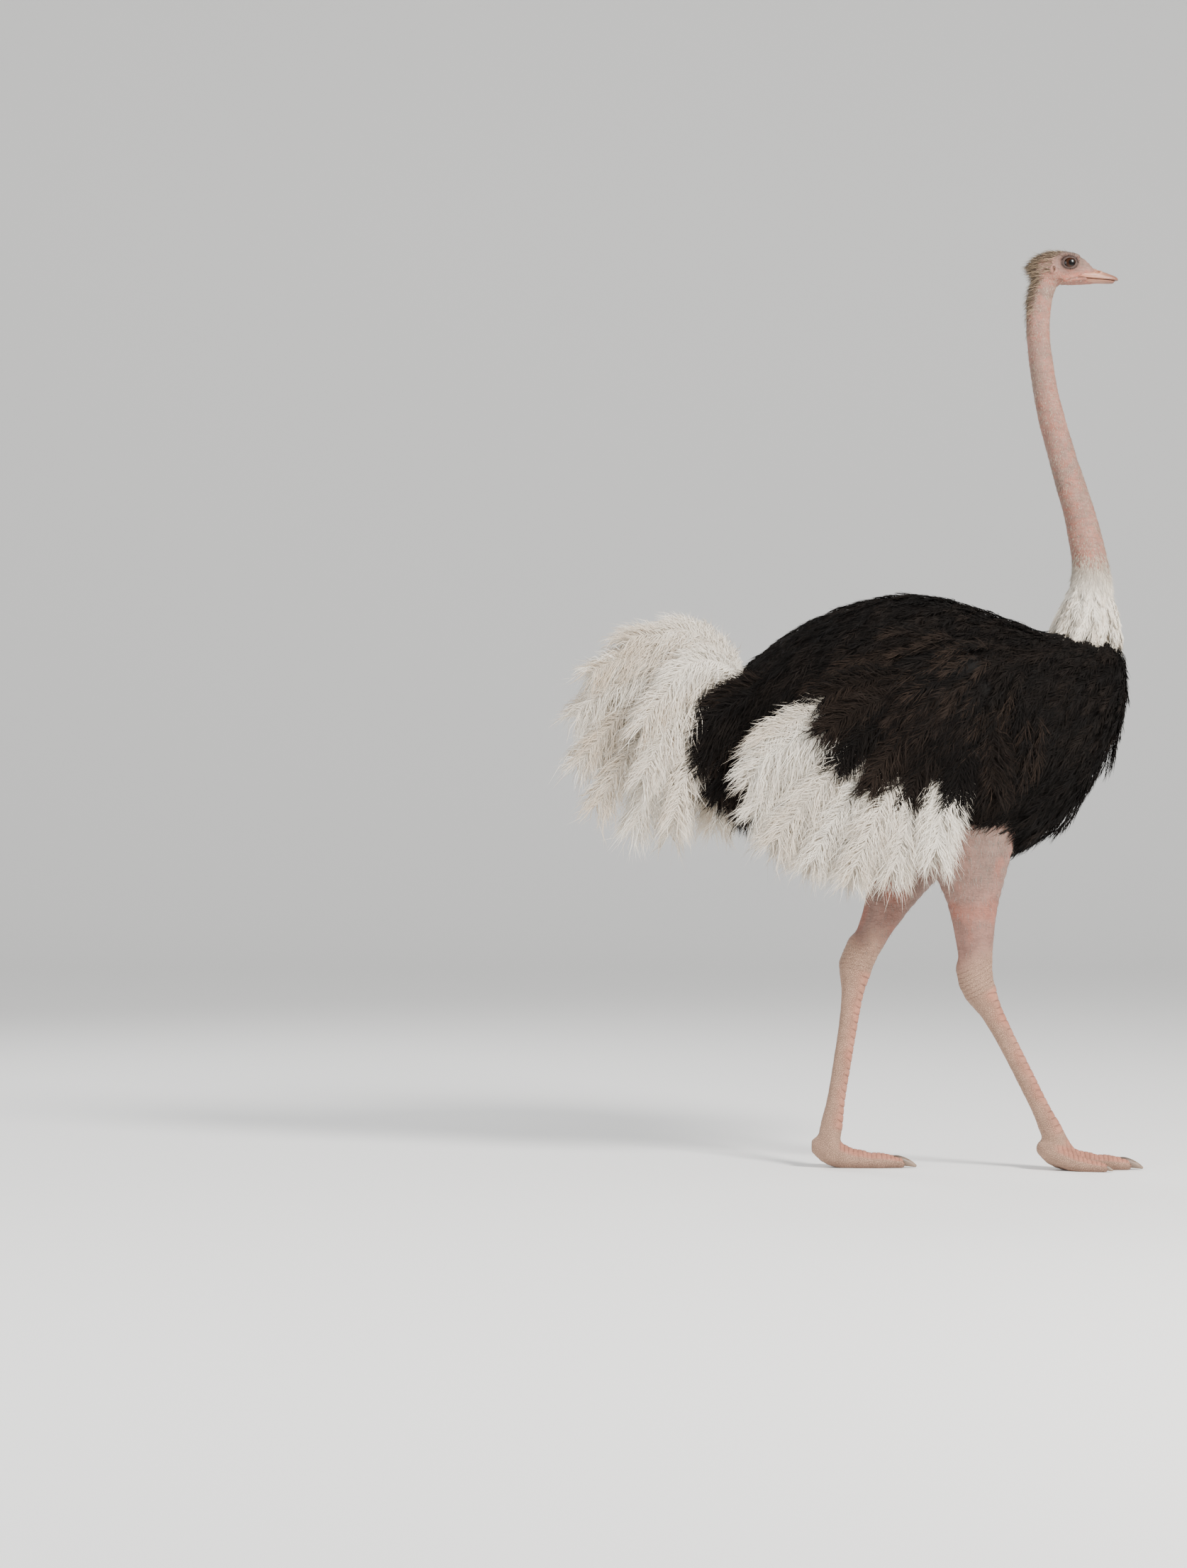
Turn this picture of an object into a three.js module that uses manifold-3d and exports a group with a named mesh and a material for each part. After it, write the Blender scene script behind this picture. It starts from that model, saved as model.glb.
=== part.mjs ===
// A life-size ostrich (Struthio camelus), an adult male in mid stride, as a still museum model.
//
// Units are millimetres. The bird faces +X, its left side is +Y and +Z is up, with the floor at z = 0.
// Every form is a loft: oval sections strung along a smooth path. The plumage is modelled as the
// masses that its feathers make, tier by tier and plume by plume, out to their tips.
// Neighbours are cut back from one another, so that every node is a solid of its own.

import * as THREE from "three";
import { mergeVertices } from "three/addons/utils/BufferGeometryUtils.js";
import Module from "manifold-3d";

const wasm = await Module();
wasm.setup();

// ---- Driving dimensions ----

const CROWN_HEIGHT = 2500; // floor to the top of the head
const BACK_HEIGHT = 1557; // floor to the top of the arched back
const SHIN_LENGTH = 480; // tarsometatarsus, from the hock to the root of the toes
const KNEE_SPREAD = 122; // how far each knee lies from the midline
const EYE_RADIUS = 25; // an ostrich's eye is about 50 mm across
const EYE_DEPTH = 20; // half of the eyeball from side to side, as it is a little flattened
const HEAD_LENGTH = 214; // back of the skull to the tip of the bill
const GAP = 0.4; // what is left between neighbours

const RIGHT = -1;
const LEFT = 1;

// ---- Shape helpers ----

const vector = (x, y, z) => new THREE.Vector3(x, y, z);
const UP = vector(0, 0, 1);
const FORWARD = vector(1, 0, 0);
const BACKWARD = vector(-1, 0, 0);
const { lerp, degToRad } = THREE.MathUtils;

const smoothLine = (points) => new THREE.CatmullRomCurve3(points, false, "catmullrom", 0.5);

// The shares of the way along a loft at which its rings lie, closer together in its rounded ends.
function ringShares({ rings, capRings, startCap, endCap }) {
  const turn = (k) => 1 - Math.cos(((Math.PI / 2) * k) / capRings);
  const steps = (count) => Array.from({ length: count }, (_, k) => k + 1);
  return [
    ...(startCap ? steps(capRings).map((k) => startCap * turn(k)) : [0]),
    ...steps(rings).map((k) => lerp(startCap, 1 - endCap, k / (rings + 1))),
    ...(endCap ? steps(capRings).reverse().map((k) => 1 - endCap * turn(k)) : [1]),
  ];
}

// How full a section is, from 0 at the point of a rounded end to 1 past it.
function fullness(share, cap) {
  return cap && share < cap ? Math.sqrt(1 - (1 - share / cap) ** 2) : 1;
}

// A closed body along a smooth path. A station is [x, y, z, side, up, down]: a point on the path and
// how far the section reaches to each side, towards `up` and away from it. A cap of 0 is a flat end.
// Sections stand square to the path, or to `facing` where that is given.
function loft(stations, options = {}) {
  const settings = { up: UP, sides: 12, rings: 6, capRings: 2, startCap: 0.1, endCap: 0.1, from: 0, to: 1 };
  const { up, facing, sides, from, to, startCap, endCap, ...rest } = { ...settings, ...options };
  const path = smoothLine(stations.map(([x, y, z]) => vector(x, y, z)));
  const girth = smoothLine(stations.map(([, , , side, high, low = high]) => vector(side, high, low)));
  const shares = ringShares({ startCap, endCap, ...rest });
  const positions = [...path.getPoint(from).toArray()];
  for (const share of shares) {
    const at = lerp(from, to, share);
    const middle = path.getPoint(at);
    const along = facing ?? path.getTangent(at);
    const across = up.clone().cross(along).normalize();
    const high = along.clone().cross(across);
    const full = fullness(share, startCap) * fullness(1 - share, endCap);
    const { x: side, y: above, z: below } = girth.getPoint(at);
    for (let k = 0; k < sides; k++) {
      const turn = (2 * Math.PI * k) / sides;
      const rise = Math.sin(turn);
      const point = middle.clone();
      point.addScaledVector(across, full * side * Math.cos(turn));
      point.addScaledVector(high, full * rise * (rise > 0 ? above : below));
      positions.push(...point.toArray());
    }
  }
  positions.push(...path.getPoint(to).toArray());
  return closedSkin(positions, shares.length, sides);
}

// Joins a first point, rings of `sides` points and a last point into one closed surface.
function closedSkin(positions, ringCount, sides) {
  const faces = [];
  const last = 1 + ringCount * sides;
  const corner = (ring, k) => 1 + ring * sides + (k % sides);
  for (let k = 0; k < sides; k++) {
    faces.push(0, corner(0, k + 1), corner(0, k));
    faces.push(last, corner(ringCount - 1, k), corner(ringCount - 1, k + 1));
    for (let ring = 0; ring + 1 < ringCount; ring++) {
      const [a, b] = [corner(ring, k), corner(ring, k + 1)];
      const [c, d] = [corner(ring + 1, k + 1), corner(ring + 1, k)];
      faces.push(a, b, c, a, c, d);
    }
  }
  const geometry = new THREE.BufferGeometry();
  geometry.setAttribute("position", new THREE.Float32BufferAttribute(positions, 3));
  return geometry.setIndex(faces);
}

// An egg shape with half sizes of its own along X, Y and Z.
function ellipsoid([x, y, z], [halfX, halfY, halfZ], round = 16, tall = 10) {
  return new THREE.SphereGeometry(1, round, tall).scale(halfX, halfY, halfZ).translate(x, y, z);
}

// A geometry as a solid, after its surface has moved outwards by `grow`.
function solid(geometry, grow = 0) {
  const bare = geometry.clone();
  bare.deleteAttribute("normal");
  bare.deleteAttribute("uv");
  const merged = mergeVertices(bare, 1e-4);
  merged.computeVertexNormals();
  const place = merged.attributes.position;
  const normal = merged.attributes.normal;
  const vertProperties = new Float32Array(place.array.map((v, i) => v + grow * normal.array[i]));
  const triVerts = new Uint32Array(merged.index.array);
  return new wasm.Manifold(new wasm.Mesh({ numProp: 3, vertProperties, triVerts }));
}

const joined = (forms, grow = 0) => forms.map((form) => solid(form, grow)).reduce((a, b) => a.add(b));

// The forms as one solid, cut back from each neighbour by the gap. Chips that a cut leaves are dropped.
function fitted(forms, ...neighbours) {
  const cut = neighbours.reduce((body, other) => body.subtract(joined(other, GAP)), joined(forms));
  return cut.decompose().sort((a, b) => b.volume() - a.volume())[0];
}

// ---- Materials ----

const material = (color, roughness) => new THREE.MeshStandardMaterial({ color, roughness, metalness: 0 });

const materials = {
  blackPlumage: material(0x1d1a1a, 0.7),
  whitePlumage: material(0xe9e4d8, 0.8),
  neckSkin: material(0xb08d80, 0.75),
  legSkin: material(0xb98e7f, 0.65),
  horn: material(0xc49a83, 0.45),
  claw: material(0x4b3f38, 0.4),
  eye: material(0x2a1708, 0.1),
};

const bird = new THREE.Group();

function add(name, body, look) {
  const { numProp, vertProperties, triVerts } = body.getMesh();
  const positions = [];
  for (let i = 0; i < vertProperties.length; i += numProp) {
    positions.push(vertProperties[i], vertProperties[i + 1], vertProperties[i + 2]);
  }
  const geometry = new THREE.BufferGeometry();
  geometry.setAttribute("position", new THREE.Float32BufferAttribute(positions, 3));
  geometry.setIndex(new THREE.BufferAttribute(triVerts, 1));
  geometry.computeVertexNormals();
  const mesh = new THREE.Mesh(geometry, look);
  mesh.name = name;
  bird.add(mesh);
}

// ---- Trunk: breast, back and belly plumage, from the rump to the breast ----

// A row is x, the height of the middle, and the reach sideways, up and down.
const trunkRows = [
  [-502, 1216, 96, 92, 96],
  [-470, 1216, 132, 126, 128],
  [-400, 1214, 182, 192, 220],
  [-270, 1208, 246, 284, 310],
  [-110, 1200, 292, 349, 352],
  [60, 1195, 302, BACK_HEIGHT - 1195, 366],
  [220, 1192, 288, 318, 356],
  [350, 1204, 248, 262, 312],
  [440, 1228, 204, 222, 262],
  [510, 1262, 160, 176, 190],
  [556, 1296, 120, 130, 130],
  [584, 1320, 90, 96, 96],
];
const trunk = [
  loft(
    trunkRows.map(([x, z, side, up, down]) => [x, 0, z, side, up, down]),
    { facing: FORWARD, sides: 22, rings: 9, startCap: 0.1, endCap: 0.11 },
  ),
];

// ---- Neck: a slender column that leans back as it rises ----

// A row is x, height, and the reach sideways, towards the nape and towards the throat.
const neckRows = [
  [404, 1290, 112, 128, 140],
  [448, 1392, 96, 108, 112],
  [482, 1498, 70, 76, 76],
  [488, 1630, 52, 54, 54],
  [458, 1775, 44, 46, 46],
  [416, 1915, 40, 42, 42],
  [378, 2055, 37, 39, 38],
  [353, 2190, 34, 36, 36],
  [345, 2310, 33, 35, 35],
  [362, 2400, 34, 36, 36],
  [392, 2448, 34, 34, 34],
];
const NECK_JOINT = 0.5; // where its lower and upper lengths meet, as a share of the way up
const NECK_SEAM = 0.0003; // half of the thin cut between them, as the same share
const neckStations = neckRows.map(([x, z, side, nape, throat]) => [x, 0, z, side, nape, throat]);
const neckEnds = { startCap: 0, endCap: 0 };
const neckLength = (from, to) =>
  loft(neckStations, { up: BACKWARD, sides: 12, rings: 5, ...neckEnds, from, to });
const lowerNeck = [neckLength(0, NECK_JOINT - NECK_SEAM)];
const upperNeck = [neckLength(NECK_JOINT + NECK_SEAM, 1)];

// ---- Head ----

const SKULL_BACK = 344; // x of the back of the skull
const EYE = [SKULL_BACK + 82, 26, CROWN_HEIGHT - 42]; // the left eye's middle

// A row is x from the back of the skull, how far below the crown, and the reach sideways, up and down.
const skullRows = [
  [0, 54, 24, 26, 26],
  [20, 52, 36, 39, 37],
  [48, 52, 42, 48, 43],
  [76, 54, 43, 51, 42],
  [102, 60, 38, 45, 36],
  [126, 67, 31, 34, 28],
  [146, 72, 27, 24, 20],
];
const skull = loft(
  skullRows.map(([x, drop, side, up, down]) => [SKULL_BACK + x, 0, CROWN_HEIGHT - drop, side, up, down]),
  { sides: 12, rings: 6, startCap: 0.16, endCap: 0.08 },
);
const brow = (side) => ellipsoid([EYE[0] + 3, side * 28, EYE[2] + 21], [31, 17, 10], 8, 5);
const eyeSize = [EYE_RADIUS, EYE_DEPTH, EYE_RADIUS];
const eyeball = (side) => ellipsoid([EYE[0], side * EYE[1], EYE[2]], eyeSize, 12, 6);
const earHole = (side) => ellipsoid([EYE[0] - 44, side * 41, EYE[2] - 17], [6, 7, 8], 5, 3);
const head = [skull, brow(RIGHT), brow(LEFT)];

// The bill is broad, flat and round-tipped. A row is x from the skull's back, drop, side, up and down.
const billHalf = (rows) =>
  loft(
    rows.map(([x, drop, side, up, down]) => [SKULL_BACK + x, 0, CROWN_HEIGHT - drop, side, up, down]),
    { sides: 10, rings: 3, startCap: 0, endCap: 0.16 },
  );
const upperBill = [
  billHalf([
    [108, 72, 33, 34, 4],
    [134, 73, 30, 26, 4],
    [162, 76, 26.5, 18, 4],
    [190, 80, 22.5, 12.5, 4],
    [HEAD_LENGTH, 84, 16, 9, 6],
  ]),
];
const lowerBill = [
  billHalf([
    [100, 75, 27, 6, 17],
    [134, 79, 26, 5, 16],
    [162, 82, 23, 4, 12],
    [188, 85, 18.5, 3, 9],
    [HEAD_LENGTH - 6, 88, 12, 2, 6],
  ]),
];
const nostril = (side) => ellipsoid([SKULL_BACK + 160, side * 23, CROWN_HEIGHT - 67], [11, 6, 3], 5, 3);

// ---- Feather lobes ----

// One hanging lobe of plumage, from its root over a bend to its tip, thin towards `outward`.
function lobe({ root, bend, tip, width, thickness, outward }, detail = {}) {
  const line = new THREE.QuadraticBezierCurve3(root, bend, tip);
  const swell = [0.5, 0.85, 1, 0.95, 0.66];
  const stations = swell.map((share, k) => {
    const { x, y, z } = line.getPoint(k / (swell.length - 1));
    return [x, y, z, (width / 2) * share, (thickness / 2) * Math.sqrt(share)];
  });
  return loft(stations, { up: outward, sides: 6, rings: 1, startCap: 0, endCap: 0.36, ...detail });
}

// A tier of lobes: their tips lie on an oval in side view and their roots lie towards a common place.
function tier({ count, turns, oval, origin, rootShare, depthAt, lift = 0, ...size }) {
  return Array.from({ length: count }, (_, k) => {
    const angle = degToRad(lerp(turns[0], turns[1], k / (count - 1)));
    const tip = { x: oval.x + oval.halfX * Math.cos(angle), z: oval.z + oval.halfZ * Math.sin(angle) };
    const root = { x: lerp(origin.x, tip.x, rootShare), z: lerp(origin.z, tip.z, rootShare) };
    const bend = { x: lerp(root.x, tip.x, 0.62), z: lerp(root.z, tip.z, 0.4) + lift };
    const place = ({ x, z }) => vector(x, depthAt(x, z), z);
    const outward = vector(0, Math.sign(depthAt(tip.x, tip.z)) || 1, 0);
    return lobe({ root: place(root), bend: place(bend), tip: place(tip), outward, ...size });
  });
}

// How far from the midline the folded wing lies at a place seen from the side: it follows the trunk,
// draws in towards the breast and the tail, and below the middle it draws in by the share `tuck`.
const WING_REACH = 292;
function flank(x, z, tuck) {
  const towardsTail = Math.max(0, -150 - x) / 370;
  const towardsBreast = Math.max(0, x - 190) / 150;
  const above = Math.max(z - 1205, 0) / 410;
  const below = Math.max(1205 - z, 0) / 450;
  const reach = WING_REACH - 96 * towardsTail - 40 * towardsBreast;
  return reach * Math.sqrt(1 - above * above) * (1 - tuck * below * below);
}

// ---- Wings, folded along the flanks ----

const wingCoverts = (side) => [
  ellipsoid([38, side * 152, 1226], [278, 184, 224], 16, 9),
  ...tier({
    count: 6,
    turns: [170, 300],
    oval: { x: 25, z: 1215, halfX: 305, halfZ: 238 },
    origin: { x: 180, z: 1390 },
    rootShare: 0.55,
    depthAt: (x, z) => side * (flank(x, z, 0.45) + 12),
    lift: 14,
    width: 156,
    thickness: 50,
  }),
];
const wingPlumes = (side) =>
  tier({
    count: 7,
    turns: [152, 309],
    oval: { x: -180, z: 1020, halfX: 345, halfZ: 276 },
    origin: { x: 130, z: 1330 },
    rootShare: 0.42,
    depthAt: (x, z) => side * flank(x, z, 0.17),
    lift: 34,
    width: 184,
    thickness: 62,
  });

// ---- Rump: the dark plumage that hangs between the wings and the tail ----

const rump = tier({
  count: 5,
  turns: [150, 238],
  oval: { x: -380, z: 1120, halfX: 243, halfZ: 236 },
  origin: { x: -250, z: 1330 },
  rootShare: 0.3,
  depthAt: () => 0,
  lift: 30,
  width: 150,
  thickness: 290,
});

// ---- Tail: a bunch of arching plumes that droop under their own weight ----

const tailRow = (y, count, turns, oval, width, thickness) =>
  tier({
    count,
    turns,
    oval,
    origin: { x: -455, z: 1335 },
    rootShare: 0,
    depthAt: (x) => y * lerp(0.35, 1, Math.min(1, (-455 - x) / 260)),
    lift: 118,
    width,
    thickness,
  });
const TAIL_OVAL = { x: -715, z: 1168, halfX: 283, halfZ: 326 };
const TAIL_SIDE_OVAL = { x: -612, z: 1108, halfX: 192, halfZ: 240 };
const tailMiddle = tailRow(0, 9, [90, 302], TAIL_OVAL, 130, 150);
const tailSide = (side) => tailRow(side * 112, 5, [114, 292], TAIL_SIDE_OVAL, 146, 118);

// ---- Collar: the ragged edge where the bare neck leaves the body plumage ----

const COLLAR_POINTS = 8;
const collar = Array.from({ length: COLLAR_POINTS }, (_, k) => {
  const turn = (2 * Math.PI * (k + 0.5)) / COLLAR_POINTS;
  const outward = vector(Math.cos(turn), Math.sin(turn), 0);
  const drop = lerp(1.15, 0.85, (1 + Math.cos(turn)) / 2);
  const ring = (x, z, reach) => vector(x, 0, z).addScaledVector(outward, reach);
  return lobe(
    {
      root: ring(489, 1545 - 12 * Math.cos(turn), 52),
      bend: ring(485, 1480 - 22 * Math.cos(turn), 76 * drop),
      tip: ring(476, 1424 - 40 * Math.cos(turn), 104 * drop),
      width: 86,
      thickness: 26,
      outward,
    },
    { sides: 5, rings: 1, endCap: 0.55 },
  );
});

// ---- Legs ----

// Each leg's joints in side view, then how far out from the midline its hock and its toes lie. The
// right leg reaches forward. The left one trails and bears the weight, so its foot comes in under
// the body.
const legPlans = {
  right: { side: RIGHT, knee: [136, 1072], hock: [170, 506], toeRoot: [388, 78], spread: [94, 64] },
  left: { side: LEFT, knee: [112, 1066], hock: [-142, 556], toeRoot: [-222, 82], spread: [58, -8] },
};

// A row is the share of the way from knee to hock, and the reach sideways, forwards and backwards.
const drumstickRows = [
  [-0.12, 88, 140, 150],
  [0.06, 100, 160, 162],
  [0.22, 98, 138, 138],
  [0.4, 82, 108, 108],
  [0.56, 62, 80, 82],
  [0.7, 48, 60, 62],
  [0.83, 39, 48, 49],
  [0.95, 36, 42, 43],
];
// The same, from the hock to the root of the toes. The hock is a broad, knuckled joint.
const shankRows = [
  [-0.1, 32, 37, 38],
  [-0.04, 39, 43, 45],
  [0.03, 43, 43, 49],
  [0.1, 37, 36, 42],
  [0.19, 27, 29, 31],
  [0.36, 23, 26.5, 25],
  [0.6, 22, 25.5, 24],
  [0.8, 24, 25, 25],
  [0.92, 33, 29, 31],
  [1.04, 36, 30, 34],
];
const SHANK_RINGS = 10;

function leg({ side, knee, hock, toeRoot, spread: [hockSpread, stance] }) {
  const kneeAt = vector(knee[0], side * KNEE_SPREAD, knee[1]);
  const hockAt = vector(hock[0], side * hockSpread, hock[1]);
  const reach = vector(toeRoot[0] - hock[0], side * (stance - hockSpread), toeRoot[1] - hock[1]);
  const toesAt = hockAt.clone().addScaledVector(reach.normalize(), SHIN_LENGTH);
  const between = (rows, start, end) =>
    rows.map(([share, across, front, back]) => {
      const { x, y, z } = start.clone().lerp(end, share);
      return [x, y, z, across, front, back];
    });
  const drumstick = loft(between(drumstickRows, kneeAt, hockAt), {
    up: FORWARD,
    sides: 11,
    rings: 6,
    startCap: 0.14,
    endCap: 0,
  });
  const shank = loft(between(shankRows, hockAt, toesAt), {
    up: FORWARD,
    sides: 10,
    rings: SHANK_RINGS,
    startCap: 0.08,
    endCap: 0.05,
  });
  return { drumstick: [drumstick], shank: [shank], toesAt };
}

// ---- Feet: two toes each, a large inner one with a stout claw and a small outer one ----

const floorCut = new THREE.BoxGeometry(3000, 1000, 100).translate(0, 0, -50);

// A toe's path is worked out from its root. A row is the distance ahead, how far outwards, the height,
// and the reach sideways, up and down. Soles reach just under the floor, which then cuts them flat.
const innerToeRows = [
  [-34, 2, 60, 28, 26, 26],
  [0, 1, 47, 34, 32, 38],
  [36, 0, 33, 33, 29, 36],
  [76, -2, 25, 29, 23, 30],
  [116, -3, 22, 27, 20, 26],
  [158, -3, 19, 25, 18, 22],
  [194, -3, 15, 19, 14, 18],
];
const outerToeRows = [
  [-22, 20, 54, 20, 20, 20],
  [10, 30, 40, 22, 22, 28],
  [44, 41, 26, 20, 19, 28],
  [76, 50, 19, 17.5, 16, 22],
  [104, 57, 15, 15.5, 13, 18],
  [126, 62, 12, 11, 9, 14],
];
const innerClawRows = [
  [172, -3, 24, 14, 11, 15],
  [196, -3, 20, 13, 11, 14],
  [216, -3, 13, 9.5, 8, 9],
  [231, -3, 6, 5, 4, 4],
];
const outerClawRows = [
  [110, 58.5, 15, 8, 7, 8],
  [126, 62, 13, 7, 7, 8],
  [141, 65, 6, 4, 4, 4],
];

function toe(rows, toesAt, side, detail) {
  const stations = rows.map(([ahead, out, z, across, up, down]) => [
    toesAt.x + ahead,
    toesAt.y + side * out,
    z,
    across,
    up,
    down,
  ]);
  return [loft(stations, { sides: 10, rings: 4, startCap: 0.12, endCap: 0.12, ...detail })];
}

// ---- Assembly ----

const { blackPlumage, whitePlumage, neckSkin, legSkin, horn, claw, eye } = materials;
const eyes = [eyeball(RIGHT), eyeball(LEFT)];
const covertsBoth = [...wingCoverts(RIGHT), ...wingCoverts(LEFT)];
const plumesBoth = [...wingPlumes(RIGHT), ...wingPlumes(LEFT)];

add("trunk", fitted(trunk), blackPlumage);
add("neck_lower", fitted(lowerNeck, trunk), neckSkin);
add("neck_upper", fitted(upperNeck, head), neckSkin);
add("neck_collar", fitted(collar, trunk, lowerNeck), whitePlumage);
add("head", fitted(head, eyes, [earHole(RIGHT)], [earHole(LEFT)]), neckSkin);
add("bill_upper", fitted(upperBill, head, [nostril(RIGHT)], [nostril(LEFT)]), horn);
add("bill_lower", fitted(lowerBill, head, upperBill), horn);
add("rump", fitted(rump, trunk, covertsBoth, plumesBoth), blackPlumage);
add("tail_plumes_middle", fitted(tailMiddle, trunk, rump), whitePlumage);

for (const [name, plan] of Object.entries(legPlans)) {
  const { side } = plan;
  const { drumstick, shank, toesAt } = leg(plan);
  const innerToe = toe(innerToeRows, toesAt, side, {});
  const outerToe = toe(outerToeRows, toesAt, side, { sides: 8 });
  const innerClaw = toe(innerClawRows, toesAt, side, { sides: 6, rings: 2, startCap: 0, endCap: 0.2 });
  const outerClaw = toe(outerClawRows, toesAt, side, { sides: 6, rings: 1, startCap: 0, endCap: 0.3 });
  add(`eye_${name}`, fitted([eyeball(side)]), eye);
  add(`wing_coverts_${name}`, fitted(wingCoverts(side), trunk), blackPlumage);
  add(`wing_plumes_${name}`, fitted(wingPlumes(side), trunk, covertsBoth), whitePlumage);
  add(`tail_plumes_${name}`, fitted(tailSide(side), trunk, rump, tailMiddle, plumesBoth), whitePlumage);
  add(`thigh_${name}`, fitted(drumstick, trunk, plumesBoth, covertsBoth, shank), legSkin);
  add(`shank_${name}`, fitted(shank), legSkin);
  add(`toe_inner_${name}`, fitted(innerToe, shank, [floorCut]), legSkin);
  add(`toe_outer_${name}`, fitted(outerToe, shank, innerToe, [floorCut]), legSkin);
  add(`claw_inner_${name}`, fitted(innerClaw, innerToe, [floorCut]), claw);
  add(`claw_outer_${name}`, fitted(outerClaw, outerToe, [floorCut]), claw);
}

// The origin goes to the middle of the bird's box, at the floor.
const box = new THREE.Box3().setFromObject(bird);
bird.position.set(-(box.min.x + box.max.x) / 2, -(box.min.y + box.max.y) / 2, -box.min.z);

export default bird;
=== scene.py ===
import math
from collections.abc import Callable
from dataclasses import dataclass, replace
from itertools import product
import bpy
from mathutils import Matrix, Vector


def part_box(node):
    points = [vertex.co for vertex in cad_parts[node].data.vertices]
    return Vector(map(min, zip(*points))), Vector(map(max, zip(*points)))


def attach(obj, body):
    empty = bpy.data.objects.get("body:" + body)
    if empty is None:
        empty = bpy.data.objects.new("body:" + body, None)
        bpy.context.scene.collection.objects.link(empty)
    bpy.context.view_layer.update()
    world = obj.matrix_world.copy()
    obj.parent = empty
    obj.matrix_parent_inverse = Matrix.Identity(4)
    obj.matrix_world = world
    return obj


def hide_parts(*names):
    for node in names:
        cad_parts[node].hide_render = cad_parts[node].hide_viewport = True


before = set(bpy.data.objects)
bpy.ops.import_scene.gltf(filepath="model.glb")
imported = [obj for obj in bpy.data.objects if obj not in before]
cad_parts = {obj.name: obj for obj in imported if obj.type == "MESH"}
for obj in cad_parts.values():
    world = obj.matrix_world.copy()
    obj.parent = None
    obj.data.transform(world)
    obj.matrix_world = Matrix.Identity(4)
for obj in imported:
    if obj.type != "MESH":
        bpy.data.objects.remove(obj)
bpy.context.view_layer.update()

# A life-size adult male ostrich in mid stride. One skin carries the flesh, and every feather, tuft of
# down, bristle and lash is a thin mesh blade that is rooted on it and follows the lie of the coat.
#
# Forms are worked out in millimetres in the bird's own axes: x forward, y to its left, z up. They go
# to the frame's axes, in metres, when a mesh is made.

from types import SimpleNamespace

import bpy
import numpy as np
import openvdb
from mathutils import Vector

# ---- Driving dimensions, in millimetres ----

RIGHT, LEFT = -1, 1
SIDES = {"right": RIGHT, "left": LEFT}
CROWN = 2500.0  # floor to the top of the head
SKULL_BACK = 344.0  # x of the back of the skull
EYE = np.array([426.0, 26.0, 2458.0])  # the left eye's middle
EYE_HALF = np.array([25.0, 20.0, 25.0])
SHIN = 480.0  # hock to the root of the toes
KNEE_SPREAD = 122.0
COAT_DEPTH = 15.0  # how deep the skin lies under the plumage of the trunk
FLOOR = 0.4  # the height that the soles are cut at
FAR = 1e4

MM = 0.001
eye_low, eye_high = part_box("eye_left")
FRAME_SHIFT = np.array((eye_low + eye_high) / 2) - EYE * MM


def to_frame(points):
    return np.asarray(points, float) * MM + FRAME_SHIFT


# ---- Small helpers ----


def unit(v):
    """The same way, with a length of 1."""
    return v / np.maximum(np.linalg.norm(v, axis=-1, keepdims=True), 1e-9)


def dot(a, b):
    return np.sum(a * b, axis=-1)


def mix(a, b, share):
    return a + (b - a) * share


def along_surface(way, out):
    """What is left of a way when the part along `out` is taken off."""
    return way - out * dot(way, out)[..., None]


def smoothstep(low, high, value):
    share = np.clip((value - low) / (high - low), 0.0, 1.0)
    return share * share * (3.0 - 2.0 * share)


def smooth_rows(rows, steps):
    """Rows of numbers as a dense, smooth run: a Catmull-Rom curve through them."""
    rows = np.asarray(rows, float)
    knots = np.array([2 * rows[0] - rows[1], *rows, 2 * rows[-1] - rows[-2]])
    at = np.linspace(0, len(rows) - 1, steps)
    k = np.minimum(at.astype(int), len(rows) - 2)
    t = (at - k)[:, None]
    p0, p1, p2, p3 = (knots[k + i] for i in range(4))
    slope_a = 0.5 * (p2 - p0)
    slope_b = 0.5 * (p3 - p1)
    cubic = 2 * p1 - 2 * p2 + slope_a + slope_b
    square = -3 * p1 + 3 * p2 - 2 * slope_a - slope_b
    return ((cubic * t + square) * t + slope_a) * t + p1


LATTICE_SIZE = 32
LATTICE = np.random.default_rng(11).random((LATTICE_SIZE,) * 3)


def noise(points, size, seed=0):
    """Smooth noise from -1 to 1 with lumps about `size` across, which may be three numbers."""
    place = points / np.asarray(size, float) + 7.31 * seed
    cell = np.floor(place).astype(int)
    part = place - cell
    part = part * part * (3 - 2 * part)
    total = 0.0
    for corner in product((0, 1), repeat=3):
        weight = np.prod(np.where(corner, part, 1 - part), axis=-1)
        i, j, k = np.moveaxis((cell + corner) % LATTICE_SIZE, -1, 0)
        total = total + weight * LATTICE[i, j, k]
    return 2 * total - 1


def patches(points, size, seed, low, high):
    """Smooth noise as shares: 0 where it is under `low`, and 1 where it is over `high`."""
    return smoothstep(low, high, noise(points, size, seed))


# ---- Rounded forms, each with a signed distance that is negative inside ----


def oval_distance(u, v, w, half_u, half_v, half_w):
    near = np.sqrt((u / half_u) ** 2 + (v / half_v) ** 2 + (w / half_w) ** 2)
    slope = np.sqrt((u / half_u**2) ** 2 + (v / half_v**2) ** 2 + (w / half_w**2) ** 2)
    return near * (near - 1) / np.maximum(slope, 1e-7)


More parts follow.
